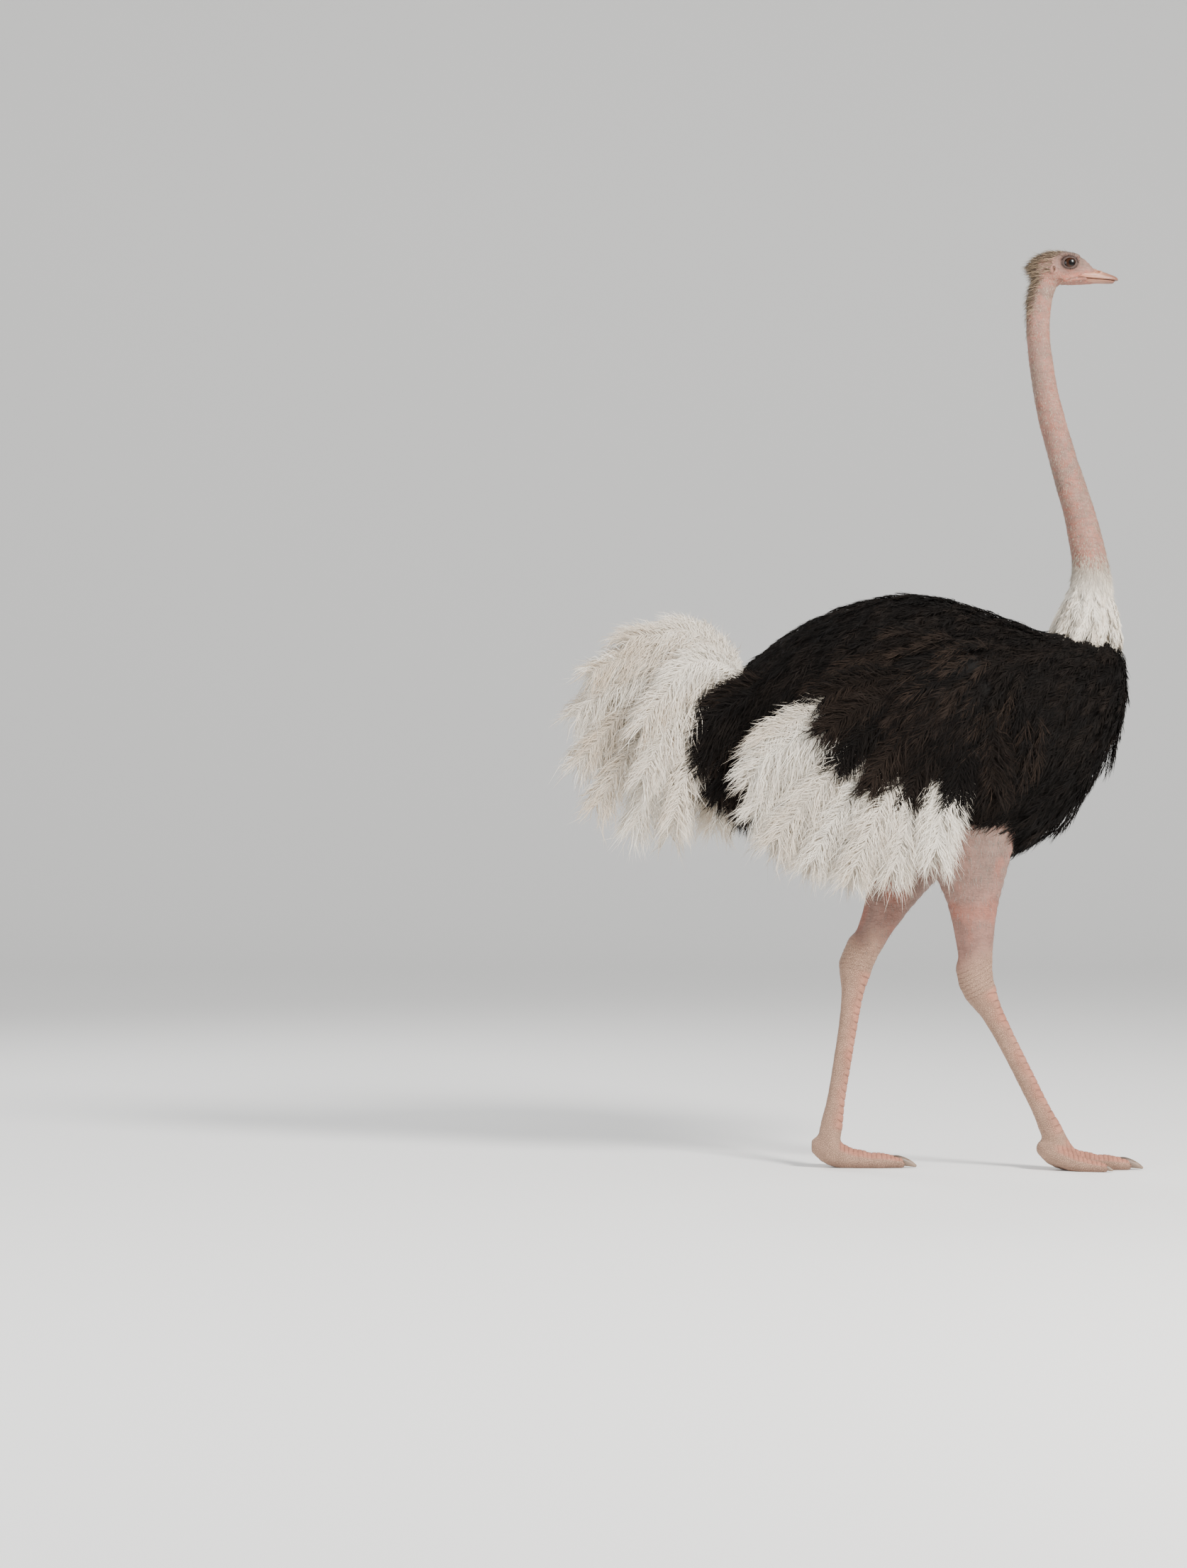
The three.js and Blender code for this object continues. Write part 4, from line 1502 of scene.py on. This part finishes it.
def body_roots(spacing, depth, rng):
    """Evenly strewn roots at a depth, on all of the trunk that the folded wings leave free."""
    strewn = (rooted_in_rings, rooted_on_ends, rooted_on_neck)
    found = [ring for strew in strewn for ring in strew(spacing, rng)]
    roots = np.concatenate(found, axis=1).T
    x, y, z = roots.T
    under_wing = np.minimum(WINGS[RIGHT].distance(x, y, z), WINGS[LEFT].distance(x, y, z)) < -12
    in_neck = NECK.distance(x, y, z) < -16
    in_trunk = TRUNK.distance(x, y, z) < -24
    on_bare_neck = (x > 380) & (z > 1452)
    return settled(roots[~(under_wing | in_neck | in_trunk | on_bare_neck)], depth)[0]


def straying_flow(count, rng, spread):
    """The lie of the body coat, with a way of its own for each feather."""
    stray = rng.normal(0, spread, (count, 3))
    return lambda points, out: body_flow(points, out) + stray


def add_underlayer(look):
    """Short broad blades close to the skin, that fill the gaps between the feathers."""
    rng = np.random.default_rng(22)
    roots = body_roots(14, COAT_DEPTH - 1, rng)
    count = len(roots)
    flow = straying_flow(count, rng, 0.3)
    lengths = rng.uniform(34, 56, count)
    depths = np.array([0, 5, 9]) - COAT_DEPTH + rng.uniform(-1, 3, (count, 1))
    lines, faces = run_over(trunk_distance, roots, flow, lengths, depths)
    halves = rng.uniform(3.5, 5.5, (count, 1)) * np.array([1, 0.9, 0])
    # the roots' colour, with its painted shade
    tints = np.repeat(black_tints(count, rng)[:, :1], 3, axis=1)
    maps = map_place(roots)[:, None] + PATCH * np.array([[0, -0.5], [0, 0], [0, 0.5]])
    coat = Coat("coat_under")
    coat.add(lines, faces, halves, tints, maps)
    coat.build("plumage_black", look)


def make_body_coat(look):
    add_underlayer(look)
    rng = np.random.default_rng(21)
    roots = body_roots(BODY_SPACING, COAT_DEPTH - 4, rng)
    x, y, z = roots.T
    count = len(roots)
    slim = np.maximum(smoothstep(300, 520, x), smoothstep(1380, 1460, z))
    tufted = patches(roots, (120, 150, 85), 19, 0.0, 0.45) * smoothstep(300, 450, x)
    tufted = tufted * smoothstep(1430, 1360, z)
    lengths = mix(140, 84, slim) * rng.uniform(0.82, 1.15, count) * (1 + 0.3 * tufted)
    loose = smoothstep(-200, -420, x) + 0.8 * smoothstep(1180, 950, z)
    loose = loose + 0.5 * smoothstep(420, 540, x) + 4 * tufted
    rise = np.array([-22, -15, -10, -7, -5, -4, -4, -4])
    depths = rise + (rng.normal(0, 3, count) + 5 * loose)[:, None] * TIP_SHARE
    lines, faces = run_over(trunk_distance, roots, straying_flow(count, rng, 0.2), lengths, depths)
    tints = black_tints(count, rng, 0.35)
    behind = x <= 330
    regions = {
        "coat_breast": ~behind,
        "coat_right": behind & (y < -60),
        "coat_left": behind & (y > 60),
        "coat_middle": behind & (np.abs(y) <= 60),
    }
    for name, here in regions.items():
        coat = Coat(name)
        add_feathers(coat, lines[here], faces[here], 0.23 * lengths[here], tints[here], SMALL_FEATHER, rng,
                     roots[here])
        coat.build("plumage_black", look)


# ---- Lobes: plumes that hang in tiers ----


@dataclass
class Fan:
    """A fan of drooping plumes, gathered in lobes. Its places are x and height, seen from the side."""

    oval: tuple  # the middle and the half sizes of the oval that the lobes reach
    origin: tuple  # the place that the plumes spread out from
    rooted: float  # the share of the way from there to the oval at which they are rooted
    lift: float  # how far the bend of a plume is raised
    lobes: int
    loose: float  # how far a plume strays from its lobe's middle, as a share of a lobe
    halves: tuple  # the least and the greatest half width of a plume
    tilt: float  # how far its flat side turns away from outwards
    tints: Callable  # black_tints or white_tints
    wear: float  # how brown or dusty the tips are
    vane: Vane
    steps: int = 10

    def lines(self, turn, reach, depth_at):
        """Lines over a bend. `turn` is the place round the oval, and `reach` the share of the way to it."""
        middle_x, middle_z, half_x, half_z = self.oval
        end_x, end_z = middle_x + half_x * np.cos(turn), middle_z + half_z * np.sin(turn)
        root_x, root_z = mix(self.origin[0], end_x, self.rooted), mix(self.origin[1], end_z, self.rooted)
        tip_x, tip_z = mix(root_x, end_x, reach), mix(root_z, end_z, reach)
        bend_x, bend_z = mix(root_x, tip_x, 0.62), mix(root_z, tip_z, 0.4) + self.lift
        t = np.linspace(0, 1, self.steps)[None, :]
        shares = (1 - t) ** 2, 2 * t * (1 - t), t * t
        x = sum(share * at[:, None] for share, at in zip(shares, (root_x, bend_x, tip_x)))
        z = sum(share * at[:, None] for share, at in zip(shares, (root_z, bend_z, tip_z)))
        return np.stack(np.broadcast_arrays(x, depth_at(x, z), z), axis=-1)


def add_fan(coat, fan, per_lobe, turns, depth_at, outward, rng, shrink=1.0):
    """Plumes from the first lobe's turn to the last one's, in degrees. `depth_at` gives Y from x, z, a
    plume's layer in its lobe, from -1 to 1, and the number of the lobe."""
    lobe = np.repeat(np.arange(fan.lobes), per_lobe)
    layer = np.tile(np.linspace(-1, 1, per_lobe), fan.lobes)[:, None]
    step = (turns[1] - turns[0]) / (fan.lobes - 1)
    turn = np.radians(turns[0] + step * (lobe + rng.uniform(-fan.loose, fan.loose, len(lobe))))
    reach = rng.uniform(0.78, 0.86, len(lobe)) * shrink
    lines = fan.lines(turn, reach, lambda x, z: depth_at(x, z, layer, lobe[:, None]))
    halves = rng.uniform(*fan.halves, len(lines))
    faces = face_of(lines, outward, fan.tilt, rng)
    add_feathers(coat, lines, faces, halves, fan.tints(len(lines), rng, fan.wear), fan.vane, rng)


def flank(x, z, tuck):
    """How far from the midline the folded wing lies at a place seen from the side."""
    widest = 1205  # the height at which it lies furthest out
    above = np.clip((z - widest) / 410, 0, 0.98)
    below = np.maximum(widest - z, 0) / 450
    reach = 292 - 96 * np.maximum(0, -150 - x) / 370 - 40 * np.maximum(0, x - 190) / 150
    return reach * np.sqrt(1 - above * above) * (1 - tuck * below * below)


def face_of(lines, outward, tilt, rng):
    """Facings for hanging plumes: outwards, with a tilt of their own."""
    tangents = unit(np.gradient(lines, axis=1))
    face = outward + tilt * rng.normal(0, 1, (len(lines), 3))
    face = np.repeat(face[:, None], lines.shape[1], axis=1)
    return unit(along_surface(face, tangents))


WING_PLUMES = Fan(
    oval=(-180, 1020, 345, 276),
    origin=(130, 1330),
    rooted=0.36,
    lift=34,
    lobes=8,
    loose=0.09,
    halves=(54, 64),
    tilt=0.14,
    tints=white_tints,
    wear=0.6,
    vane=Vane(barbs=125, ribbon=2.0, spread=(60, 44), curl=0.2, sag=0.75, wave=0.34, lean=0.35,
              blunt=0.78, shaft=1.6, fill=0.8),
)
WING_COVERTS = Fan(
    oval=(25, 1215, 305, 238),
    origin=(180, 1390),
    rooted=0.5,
    lift=14,
    lobes=7,
    loose=0.1,
    halves=(41.4, 50.6),
    tilt=0.12,
    tints=black_tints,
    wear=1.0,
    vane=Vane(barbs=60, ribbon=2.3, spread=(58, 40), curl=0.2, sag=0.35, wave=0.3, lean=0.5,
              blunt=0.8, shaft=1.4, fill=0.8),
)
RUMP = Fan(
    oval=(-380, 1120, 243, 236),
    origin=(-250, 1330),
    rooted=0.2,
    lift=30,
    lobes=5,
    loose=0.3,
    halves=(42, 62),
    tilt=0.3,
    tints=black_tints,
    wear=0.8,
    vane=Vane(barbs=52, ribbon=2.5, spread=(58, 24), curl=0.1, sag=0.24, wave=0.2, lean=0.6, shaft=1.6),
)
TAIL_MIDDLE = Fan(
    oval=(-715, 1168, 283, 326),
    origin=(-440, 1318),
    rooted=0.0,
    lift=118,
    lobes=9,
    loose=0.1,
    halves=(52, 62),
    tilt=0.25,
    tints=white_tints,
    wear=0.9,
    vane=Vane(barbs=120, ribbon=2.0, spread=(60, 42), curl=0.14, sag=0.8, wave=0.34, lean=0.3,
              blunt=0.75, shaft=1.6, fill=0.72),
    steps=12,
)
TAIL_SIDE = replace(TAIL_MIDDLE, oval=(-612, 1108, 192, 240), lobes=5)
TAIL_ROOT = TAIL_MIDDLE.origin[0]


def over_wing(side, tuck, depth, apart, swing, sunk=0.0):
    """Depths over the folded wing: `apart` parts a lobe's layers, `swing` parts each lobe from the next,
    and `sunk` is how far the roots lie further in."""

    def across(x, z, layer, lobe):
        offset = depth + apart * layer + swing * (2 * (lobe % 2) - 1)
        return side * (flank(x, z, tuck) + offset - sunk * np.linspace(1, 0, x.shape[1]) ** 0.8)

    return across


def over_tail(y):
    """Depths for a layer of the tail, which starts near the midline and spreads to `y` from it."""

    def across(x, z, layer, lobe):
        return (y + 10 * layer) * mix(0.3, 1, np.clip((TAIL_ROOT - x) / 260, 0, 1))

    return across


def make_wing(name, black_look, white_look):
    side = SIDES[name]
    rng = np.random.default_rng(31)
    outward = np.array([0.0, side, 0.0])

    plumes = Coat(f"plumes_{name}")
    # The depth of a layer, its plumes to a lobe, the turns that it covers, and its size.
    layers = ((0, 5, (154, 307), 0.96), (-24, 4, (163, 298), 0.93), (-48, 4, (154, 307), 0.9))
    for depth, per_lobe, turns, shrink in layers:
        depth_at = over_wing(side, 0.17, depth, 8, 5, sunk=26)
        add_fan(plumes, WING_PLUMES, per_lobe, turns, depth_at, outward, rng, shrink)
    plumes.build("plumage_white", white_look, f"wing_plumes_{name}")

    coverts = Coat(f"coverts_{name}")
    broad_coverts = replace(WING_COVERTS, halves=(46.8, 57.2))
    for fan, depth, per_lobe, shrink in ((WING_COVERTS, 16, 6, 1.08), (broad_coverts, 2, 4, 0.98)):
        depth_at = over_wing(side, 0.45, depth, 6, 4)
        add_fan(coverts, fan, per_lobe, (166, 304), depth_at, outward, rng, shrink)
    add_shoulder(coverts, side, rng)
    coverts.build("plumage_black", black_look, f"wing_coverts_{name}")


SHOULDER = np.array([336.0, 0, 1456.0])  # the place that the wing's coverts fan out from


def shoulder_roots(side, rng):
    """Roots over the folded wing in arcs round the shoulder, and how near its front edge each one is."""
    spacing = 25
    found = []
    for reach in np.arange(30, 690, 0.9 * spacing):
        count = max(int(reach * math.radians(128) / spacing), 3)
        turn = np.radians(np.linspace(160, 288, count)) + rng.uniform(-0.3, 0.3, count) * spacing / reach
        far = reach + rng.uniform(-0.4, 0.4, count) * spacing
        found.append([SHOULDER[0] + far * np.cos(turn), 0 * turn, SHOULDER[2] + far * np.sin(turn)])
    roots = np.concatenate(found, axis=1).T
    wing = WINGS[side]
    from_middle = (roots - wing.middle) / wing.half
    room = 1 - from_middle[:, 0] ** 2 - from_middle[:, 2] ** 2
    roots, room = roots[room > 0.03], room[room > 0.03]
    roots[:, 1] = side * (abs(wing.middle[1]) + wing.half[1] * np.sqrt(room))
    front = smoothstep(0.5, 0.12, room) * smoothstep(60, 190, roots[:, 0])
    return settled(roots, 26)[0], front


def add_shoulder(coat, side, rng):
    """Rows of small coverts that fan out over the folded wing from the shoulder."""
    roots, front = shoulder_roots(side, rng)
    count = len(roots)
    lengths = rng.uniform(84, 118, count)
    stray = rng.normal(0, 0.12, (count, 3))

    def flow(points, out):
        return unit((points - SHOULDER) * (1, 0, 1)) + (-0.12, 0, -0.25) + stray

    rise = np.array([-26, -14, -6, -2, 0, 1, 1, 1])
    roll = front[:, None] * np.array([0, 11, 16, 17, 15, 12, 8, 5])
    tips = rng.normal(0, 3, count)[:, None] * TIP_SHARE
    lines, faces = run_over(body_distance, roots, flow, lengths, rise + roll + tips)
    vane = replace(SMALL_FEATHER, curl=0.12, sag=0.12, wave=0.2)
    add_feathers(coat, lines, faces, 0.24 * lengths, black_tints(count, rng, 1.3), vane, rng, roots)


def make_rump(look):
    rng = np.random.default_rng(41)
    rump = Coat("rump_plumes")
    for y in np.linspace(-128, 128, 9):
        per_lobe = 8 if abs(y) > 90 else 3
        outward = np.array([-0.25, np.sign(y) if abs(y) > 20 else 0.3, 0.1])
        add_fan(rump, RUMP, per_lobe, (150, 238), lambda x, z, layer, lobe: y + 12 * layer, outward, rng)
    rump.build("plumage_black", look, "rump")


def make_tail(look):
    """Three bunches of plumes in layers. A layer is how far to the left it lies, and its plumes to a lobe."""
    rng = np.random.default_rng(51)
    bunches = {
        "middle": (TAIL_MIDDLE, (90, 302), ((-62, 3), (-22, 2), (22, 2), (62, 3))),
        "right": (TAIL_SIDE, (114, 292), ((-146, 4), (-104, 3))),
        "left": (TAIL_SIDE, (114, 292), ((146, 4), (104, 3))),
    }
    for name, (fan, turns, layers) in bunches.items():
        tail = Coat(f"tail_{name}")
        for y, per_lobe in layers:
            outward = np.array([0.0, np.sign(y), 0.25 if abs(y) < 70 else 0.1])
            add_fan(tail, fan, per_lobe, turns, over_tail(y), outward, rng)
        tail.build("plumage_white", look, f"tail_plumes_{name}")


COLLAR_POINT = 2 * math.pi / 10  # the collar has ten points round the neck
COLLAR_VANE = Vane(barbs=21, ribbon=1.9, spread=(42, 10), curl=0.1, sag=0.15, wave=0.18, lean=0.8, shaft=1.0)


def add_ring(coat, count, high, fall, stand, rng):
    """A ring of feathers round the neck: their number, the height of their roots, their length, and how
    far they stand out."""
    t = np.linspace(0, 1, 8)[None, :]
    turn = turns_round(count, 0.35, rng)[:, None]
    from_point = (turn / COLLAR_POINT + 0.5) % 1.0 - 0.5
    ragged = 0.66 + 0.62 * (0.5 - np.abs(from_point))
    length = fall * ragged * rng.uniform(0.92, 1.1, (count, 1)) * (1 + 0.16 * np.cos(turn))
    z = high - 12 * np.cos(turn) - length * t + rng.uniform(-11, 11, (count, 1))
    turn = turn - 0.62 * COLLAR_POINT * from_point * t * t
    front = np.where(np.cos(turn) > 0, neck_at(z, 5), neck_at(z, 4))
    sunk = np.interp(z, [row[1] for row in NECK_ROWS], NECK_COAT) * (1 - 0.8 * t)
    lift = stand * np.sin(math.pi * np.clip(t, 0, 0.6) / 1.2) + 5 * t - sunk
    x = neck_at(z, 0) + (front + lift) * np.cos(turn)
    y = (neck_at(z, 3) + lift) * np.sin(turn)
    lines = np.stack([x, y, z], axis=-1)
    start = turn[:, 0]
    out = np.stack([np.cos(start), np.sin(start), 0 * start], axis=-1)
    faces = face_of(lines, out, 0.15, rng)
    halves = rng.uniform(0.11, 0.15, count) * fall + 2
    add_feathers(coat, lines, faces, halves, white_tints(count, rng, 0.5), COLLAR_VANE, rng)


def make_collar(look):
    """The ragged ring of white feathers where the bare neck leaves the body plumage."""
    rng = np.random.default_rng(61)
    collar = Coat("collar")
    rings = (
        (58, 1496, 92, 0), (58, 1512, 98, 5), (56, 1527, 100, 9), (54, 1541, 96, 11),
        (52, 1553, 78, 6), (50, 1563, 62, 3), (48, 1572, 48, 0),
    )
    for ring in rings:
        add_ring(collar, *ring, rng)
    collar.build("plumage_white", look, "neck_collar")


# ---- Down on the neck, bristles on the crown, and lashes ----


def strewn_on(points, quads, count, rng, weight):
    """Places on a surface with their outward way, by area times a weight for each face."""
    corners = points[quads]
    ways = face_ways(corners)
    chance = np.linalg.norm(ways, axis=1) * weight(corners.mean(axis=1), unit(ways))
    chosen = rng.choice(len(quads), count, p=chance / chance.sum())
    share = rng.dirichlet(np.ones(4), count)[..., None]
    return (corners[chosen] * share).sum(axis=1), unit(ways[chosen])


def neck_map(points):
    """A place on an unwrap of the neck and head: the turn about the neck, then the height."""
    turn = turn_share(points[:, 1], points[:, 0] - neck_at(points[:, 2], 0))
    up = (points[:, 2] - 1380) / 1130  # from under the collar to over the crown
    return in_margin(np.stack([turn, up], axis=1))


def add_hairs(coat, roots, out, ways, lengths, widths, bends, tints, rng, steps, homes=None):
    """Single tapering blades that set out along `ways` and bend by `bends`. Their places on the map
    are those of the neck if they aren't given."""
    homes = neck_map(roots) if homes is None else homes
    t = np.linspace(0, 1, steps)
    reach = lengths[:, None, None]
    lines = roots[:, None] + reach * (t[:, None] * ways[:, None] + (t * t)[:, None] * bends[:, None])
    faces = np.repeat(unit(out + 0.3 * rng.normal(0, 1, out.shape))[:, None], steps, axis=1)
    halves = 0.5 * widths[:, None] * np.interp(t, [0, 0.5, 1], [1, 0.75, 0])
    colours = np.repeat(tints[:, None], steps, axis=1)
    maps = homes[:, None] + PATCH * np.stack([0 * t, t - 0.5], axis=1)
    coat.add(lines, faces, halves, colours, maps)


def make_down(look, points, quads):
    """Tufts of three hairs each, pale on the neck and dark on top of the head."""
    rng = np.random.default_rng(71)
    bill_root = SKULL_BACK + 118

    def weight(middle, out):
        x, y, z = middle.T
        clear = smoothstep(1.7, 2.2, from_eye(middle)) + (np.abs(y) < 20)
        face = 1 - 0.85 * smoothstep(SKULL_BACK + 60, bill_root, x) * smoothstep(2380, 2400, z)
        near_collar = 1 + 5 * (1 - smoothstep(1570, 1680, z))
        behind_bill = (x < bill_root + 6) | (z < 2380)
        return (z > 1500) * behind_bill * np.clip(clear, 0, 1) * face * near_collar

    tufts = 22000
    roots, out = strewn_on(points, quads, tufts, rng, weight)
    height = roots[:, 2]
    on_head = smoothstep(2395, 2440, height)
    flow = mix(np.array([-0.12, 0, -1.0]), np.array([-1.0, 0, -0.35]), on_head[:, None])
    flow = unit(along_surface(flow, out))
    pale = tinted(DUSTY_WHITE * 0.62, WHITE_FEATHER, rng.uniform(0, 0.4, tufts))
    dark = tinted(NECK_GREY * 0.5, BROWN_TIP, rng.uniform(0, 1, tufts))
    low_down = 1 - smoothstep(1560, 1720, height)
    whiter = 0.45 * low_down + 0.4 * smoothstep(1640, 1575, height)
    tints = mix(pale, dark, (on_head * smoothstep(2450, 2475, height))[:, None])
    tints = tinted(tints, WHITE_FEATHER, whiter)
    lengths = (7 + 16 * low_down - 2.5 * on_head) * rng.uniform(0.7, 1.3, tufts)
    widths = 0.5 + 0.5 * low_down
    coat = Coat("neck_down")
    for _ in range(3):
        ways = unit(flow + 0.28 * out + 0.24 * rng.normal(0, 1, flow.shape))
        each = lengths * rng.uniform(0.6, 1.2, tufts)
        add_hairs(coat, roots, out, ways, each, widths, -0.1 * out, tints, rng, 2)
    coat.build("neck_skin", look)


def make_crown(look, points, quads):
    """The shaggy bristles of the crown and nape."""
    rng = np.random.default_rng(72)

    def weight(middle, out):
        x, _, z = middle.T
        ahead = x - SKULL_BACK
        crown = smoothstep(0.1, 0.6, out[:, 2]) * (z > 2455) * (1 - 0.75 * smoothstep(20, 95, ahead))
        nape = smoothstep(0.2, 0.7, -out[:, 0]) * smoothstep(2170, 2420, z) ** 2
        return np.clip(crown + nape, 0, 1) * (ahead < 112) * (from_eye(middle) > 2.0)

    count = 2600
    roots, out = strewn_on(points, quads, count, rng, weight)
    ahead, height = roots[:, 0] - SKULL_BACK, roots[:, 2]
    back = unit(np.array([-1.0, 0, 0.12]) + 0.5 * smoothstep(2460, 2380, height)[:, None] * GRAVITY)
    back = unit(along_surface(back, out))
    raised = mix(0.25, 0.75, rng.uniform(0, 1, count))[:, None]
    ways = unit(back + raised * out + 0.16 * rng.normal(0, 1, out.shape))
    bends = 0.22 * GRAVITY + 0.12 * rng.normal(0, 1, out.shape)
    lengths = mix(12, 34, rng.uniform(0, 1, count) ** 1.3)
    lengths = lengths * (1 - 0.6 * smoothstep(30, 100, ahead)) * (1 - 0.55 * smoothstep(2400, 2270, height))
    tints = tinted(BROWN_TIP, DUSTY_WHITE, rng.uniform(0, 1, count) ** 1.5 * 0.8)
    coat = Coat("crown_bristles")
    add_hairs(coat, roots, out, ways, lengths, rng.uniform(0.7, 1.1, count), bends, tints, rng, 4)
    coat.build("neck_skin", look)


def make_leg_down(look, legs):
    """Sparse short hairs on the bare thighs, densest under the body's feathers."""
    rng = np.random.default_rng(74)
    coat = Coat("thigh_down")
    count = 3600

    def weight(middle, out):
        height = middle[:, 2]
        return (0.25 + smoothstep(620, 1020, height)) * (height > 585) * (body_distance(middle) > -20)

    each_half = (MAP_EDGE, MAP_EDGE + 0.5)  # where each leg's half of the map starts
    for leg, (points, quads, *_), map_start in zip(LEGS.values(), legs, each_half):
        roots, out = strewn_on(points, quads, count, rng, weight)
        ways = unit(along_surface(GRAVITY, out) + 0.3 * out + 0.3 * rng.normal(0, 1, out.shape))
        lengths = rng.uniform(7, 17, count)
        tints = tinted(WHITE_FEATHER * 0.45, NECK_GREY * 0.5, rng.uniform(0, 1, count))
        share = np.clip((leg.knee[2] - roots[:, 2]) / (leg.knee[2] - leg.hock[2]), 0, 1)
        off_axis = roots - mix(leg.knee, leg.hock, share[:, None])
        turn = turn_share(off_axis[:, 1], off_axis[:, 0])
        up = (roots[:, 2] - 560) / 640
        homes = np.stack([map_start + 0.46 * turn, in_margin(up)], axis=1)
        widths = rng.uniform(0.35, 0.65, count)
        bends = 0.15 * GRAVITY - 0.1 * out
        add_hairs(coat, roots, out, ways, lengths, widths, bends, tints, rng, 3, homes)
    coat.build("leg_skin", look)


def make_lashes(look):
    """Two rows to each eye: the first and last turn round it in degrees, the count, and the length."""
    rng = np.random.default_rng(73)
    coat = Coat("lashes")
    rows = ((8, 166, 56, 15), (200, 338, 30, 6.5))
    for side, (first, last, count, length) in product((RIGHT, LEFT), rows):
        turns = np.radians(np.linspace(first, last, count) + rng.uniform(-2.5, 2.5, count))
        roots = np.array([lid_place(turn, side, grow=3.4, open_by=1.04) for turn in turns])
        fan = np.stack([np.cos(turns), 0 * turns, np.sin(turns)], axis=1)
        out = np.array([0, side, 0])
        ways = unit(out + 0.5 * fan + 0.1 * rng.normal(0, 1, fan.shape))
        bends = 0.3 * fan - 0.3 * fan[:, 2:] * GRAVITY - 0.2 * out
        lengths = length * (0.5 + 0.5 * np.abs(fan[:, 2])) * rng.uniform(0.7, 1.15, count)
        tints = np.tile(PUPIL * 1.5, (count, 1))
        widths = rng.uniform(0.55, 0.85, count)
        add_hairs(coat, roots, fan, ways, lengths, widths, bends, tints, rng, 5)
    coat.build("neck_skin", look)


# ---- Stage: floor, lights and camera ----

VIEW_MIDDLE = (-865.0, 0.0, 1044.0)  # the place at the middle of the picture, in millimetres
VIEW_HEIGHT = 4.269  # metres from the bottom of the picture to its top, at the bird
LENS, SENSOR = 85.0, 36.0  # in millimetres


def soft_light(name, place_at, aim, size, power, colour=(1, 1, 1)):
    lamp = bpy.data.lights.new(name, "AREA")
    lamp.shape = "DISK"
    lamp.size = size
    lamp.energy = power
    lamp.color = colour
    holder = bpy.data.objects.new(name, lamp)
    holder.location = place_at
    holder.rotation_mode = "QUATERNION"
    holder.rotation_quaternion = (Vector(aim) - Vector(place_at)).to_track_quat("-Z", "Y")
    bpy.context.scene.collection.objects.link(holder)


def make_floor():
    """A floor that curves up into a backdrop far behind the bird."""
    reach, radius, top, half, near = 11.0, 5.0, 16.0, 40.0, -60.0
    bend = np.radians(np.linspace(0, 90, 13))
    curve = zip(reach + radius * np.sin(bend), radius - radius * np.cos(bend))
    line = [(near, 0.0), *curve, (reach + radius, top)]
    points = [(x, y, z) for y, z in line for x in (-half, half)]
    faces = [(2 * k, 2 * k + 1, 2 * k + 3, 2 * k + 2) for k in range(len(line) - 1)]
    mesh = bpy.data.meshes.new("floor")
    mesh.from_pydata(points, [], faces)
    mesh.polygons.foreach_set("use_smooth", [True] * len(faces))
    floor = bpy.data.objects.new("floor", mesh)
    bpy.context.scene.collection.objects.link(floor)
    look = Look("pale_floor", roughness=0.9, specular=0.1)
    look.shader.inputs["Base Color"].default_value = (0.93, 0.93, 0.92, 1)
    floor.data.materials.append(look.material)


def make_lights():
    """A pale sky and three soft lights."""
    world = bpy.data.worlds.new("studio")
    world.use_nodes = True
    sky = world.node_tree.nodes["Background"]
    sky.inputs["Color"].default_value = (1.0, 1.0, 1.0, 1)
    sky.inputs["Strength"].default_value = 0.62
    bpy.context.scene.world = world
    soft_light("key", (4.5, -5.5, 5.5), (0, 0, 1.2), 2.4, 1350, (1.0, 0.97, 0.93))
    soft_light("fill", (-6.0, -5.0, 3.0), (0, 0, 1.1), 4.0, 260, (0.93, 0.96, 1.0))
    soft_light("rim", (-2.5, 4.0, 4.5), (0, 0, 1.4), 2.5, 140)


def make_camera():
    lens = bpy.data.cameras.new("camera")
    lens.lens = LENS
    lens.sensor_width = SENSOR
    camera = bpy.data.objects.new("camera", lens)
    x, _, z = to_frame(VIEW_MIDDLE)
    camera.location = (x, -VIEW_HEIGHT * LENS / SENSOR, z)
    camera.rotation_euler = (math.pi / 2, 0, 0)
    bpy.context.scene.collection.objects.link(camera)
    bpy.context.scene.camera = camera


# ---- Assembly ----

neck_parts = finish_neck()
leg_parts = [finish_leg(leg) for leg in LEGS.values()]
make_skin(neck_parts, leg_parts)
wet_eye = eye_look()
claw_horn = horn_look("claw_horn", 0.7, 1.25)
make_bill(horn_look("bill_horn", 0.85, 1.12))
for side_name in SIDES:
    make_eye(side_name, wet_eye)
    for toe_name in CLAW_ROWS:
        make_claw(side_name, toe_name, claw_horn)
black_plumage = feather_look("black_plumage", 0.7, 1.35, sheen=0.0, specular=0.08)
white_plumage = feather_look("white_plumage", 0.88, 1.05)
make_body_coat(black_plumage)
for side_name in SIDES:
    make_wing(side_name, black_plumage, white_plumage)
make_rump(black_plumage)
make_tail(white_plumage)
make_collar(white_plumage)
down_look = feather_look("down", 0.85, 1.15)
make_down(down_look, *neck_parts[:2])
make_crown(down_look, *neck_parts[:2])
make_leg_down(down_look, leg_parts)
make_lashes(feather_look("lash", 0.9, 1.1, sheen=0.0, specular=0.3, rough=0.4))
make_floor()
make_lights()
make_camera()
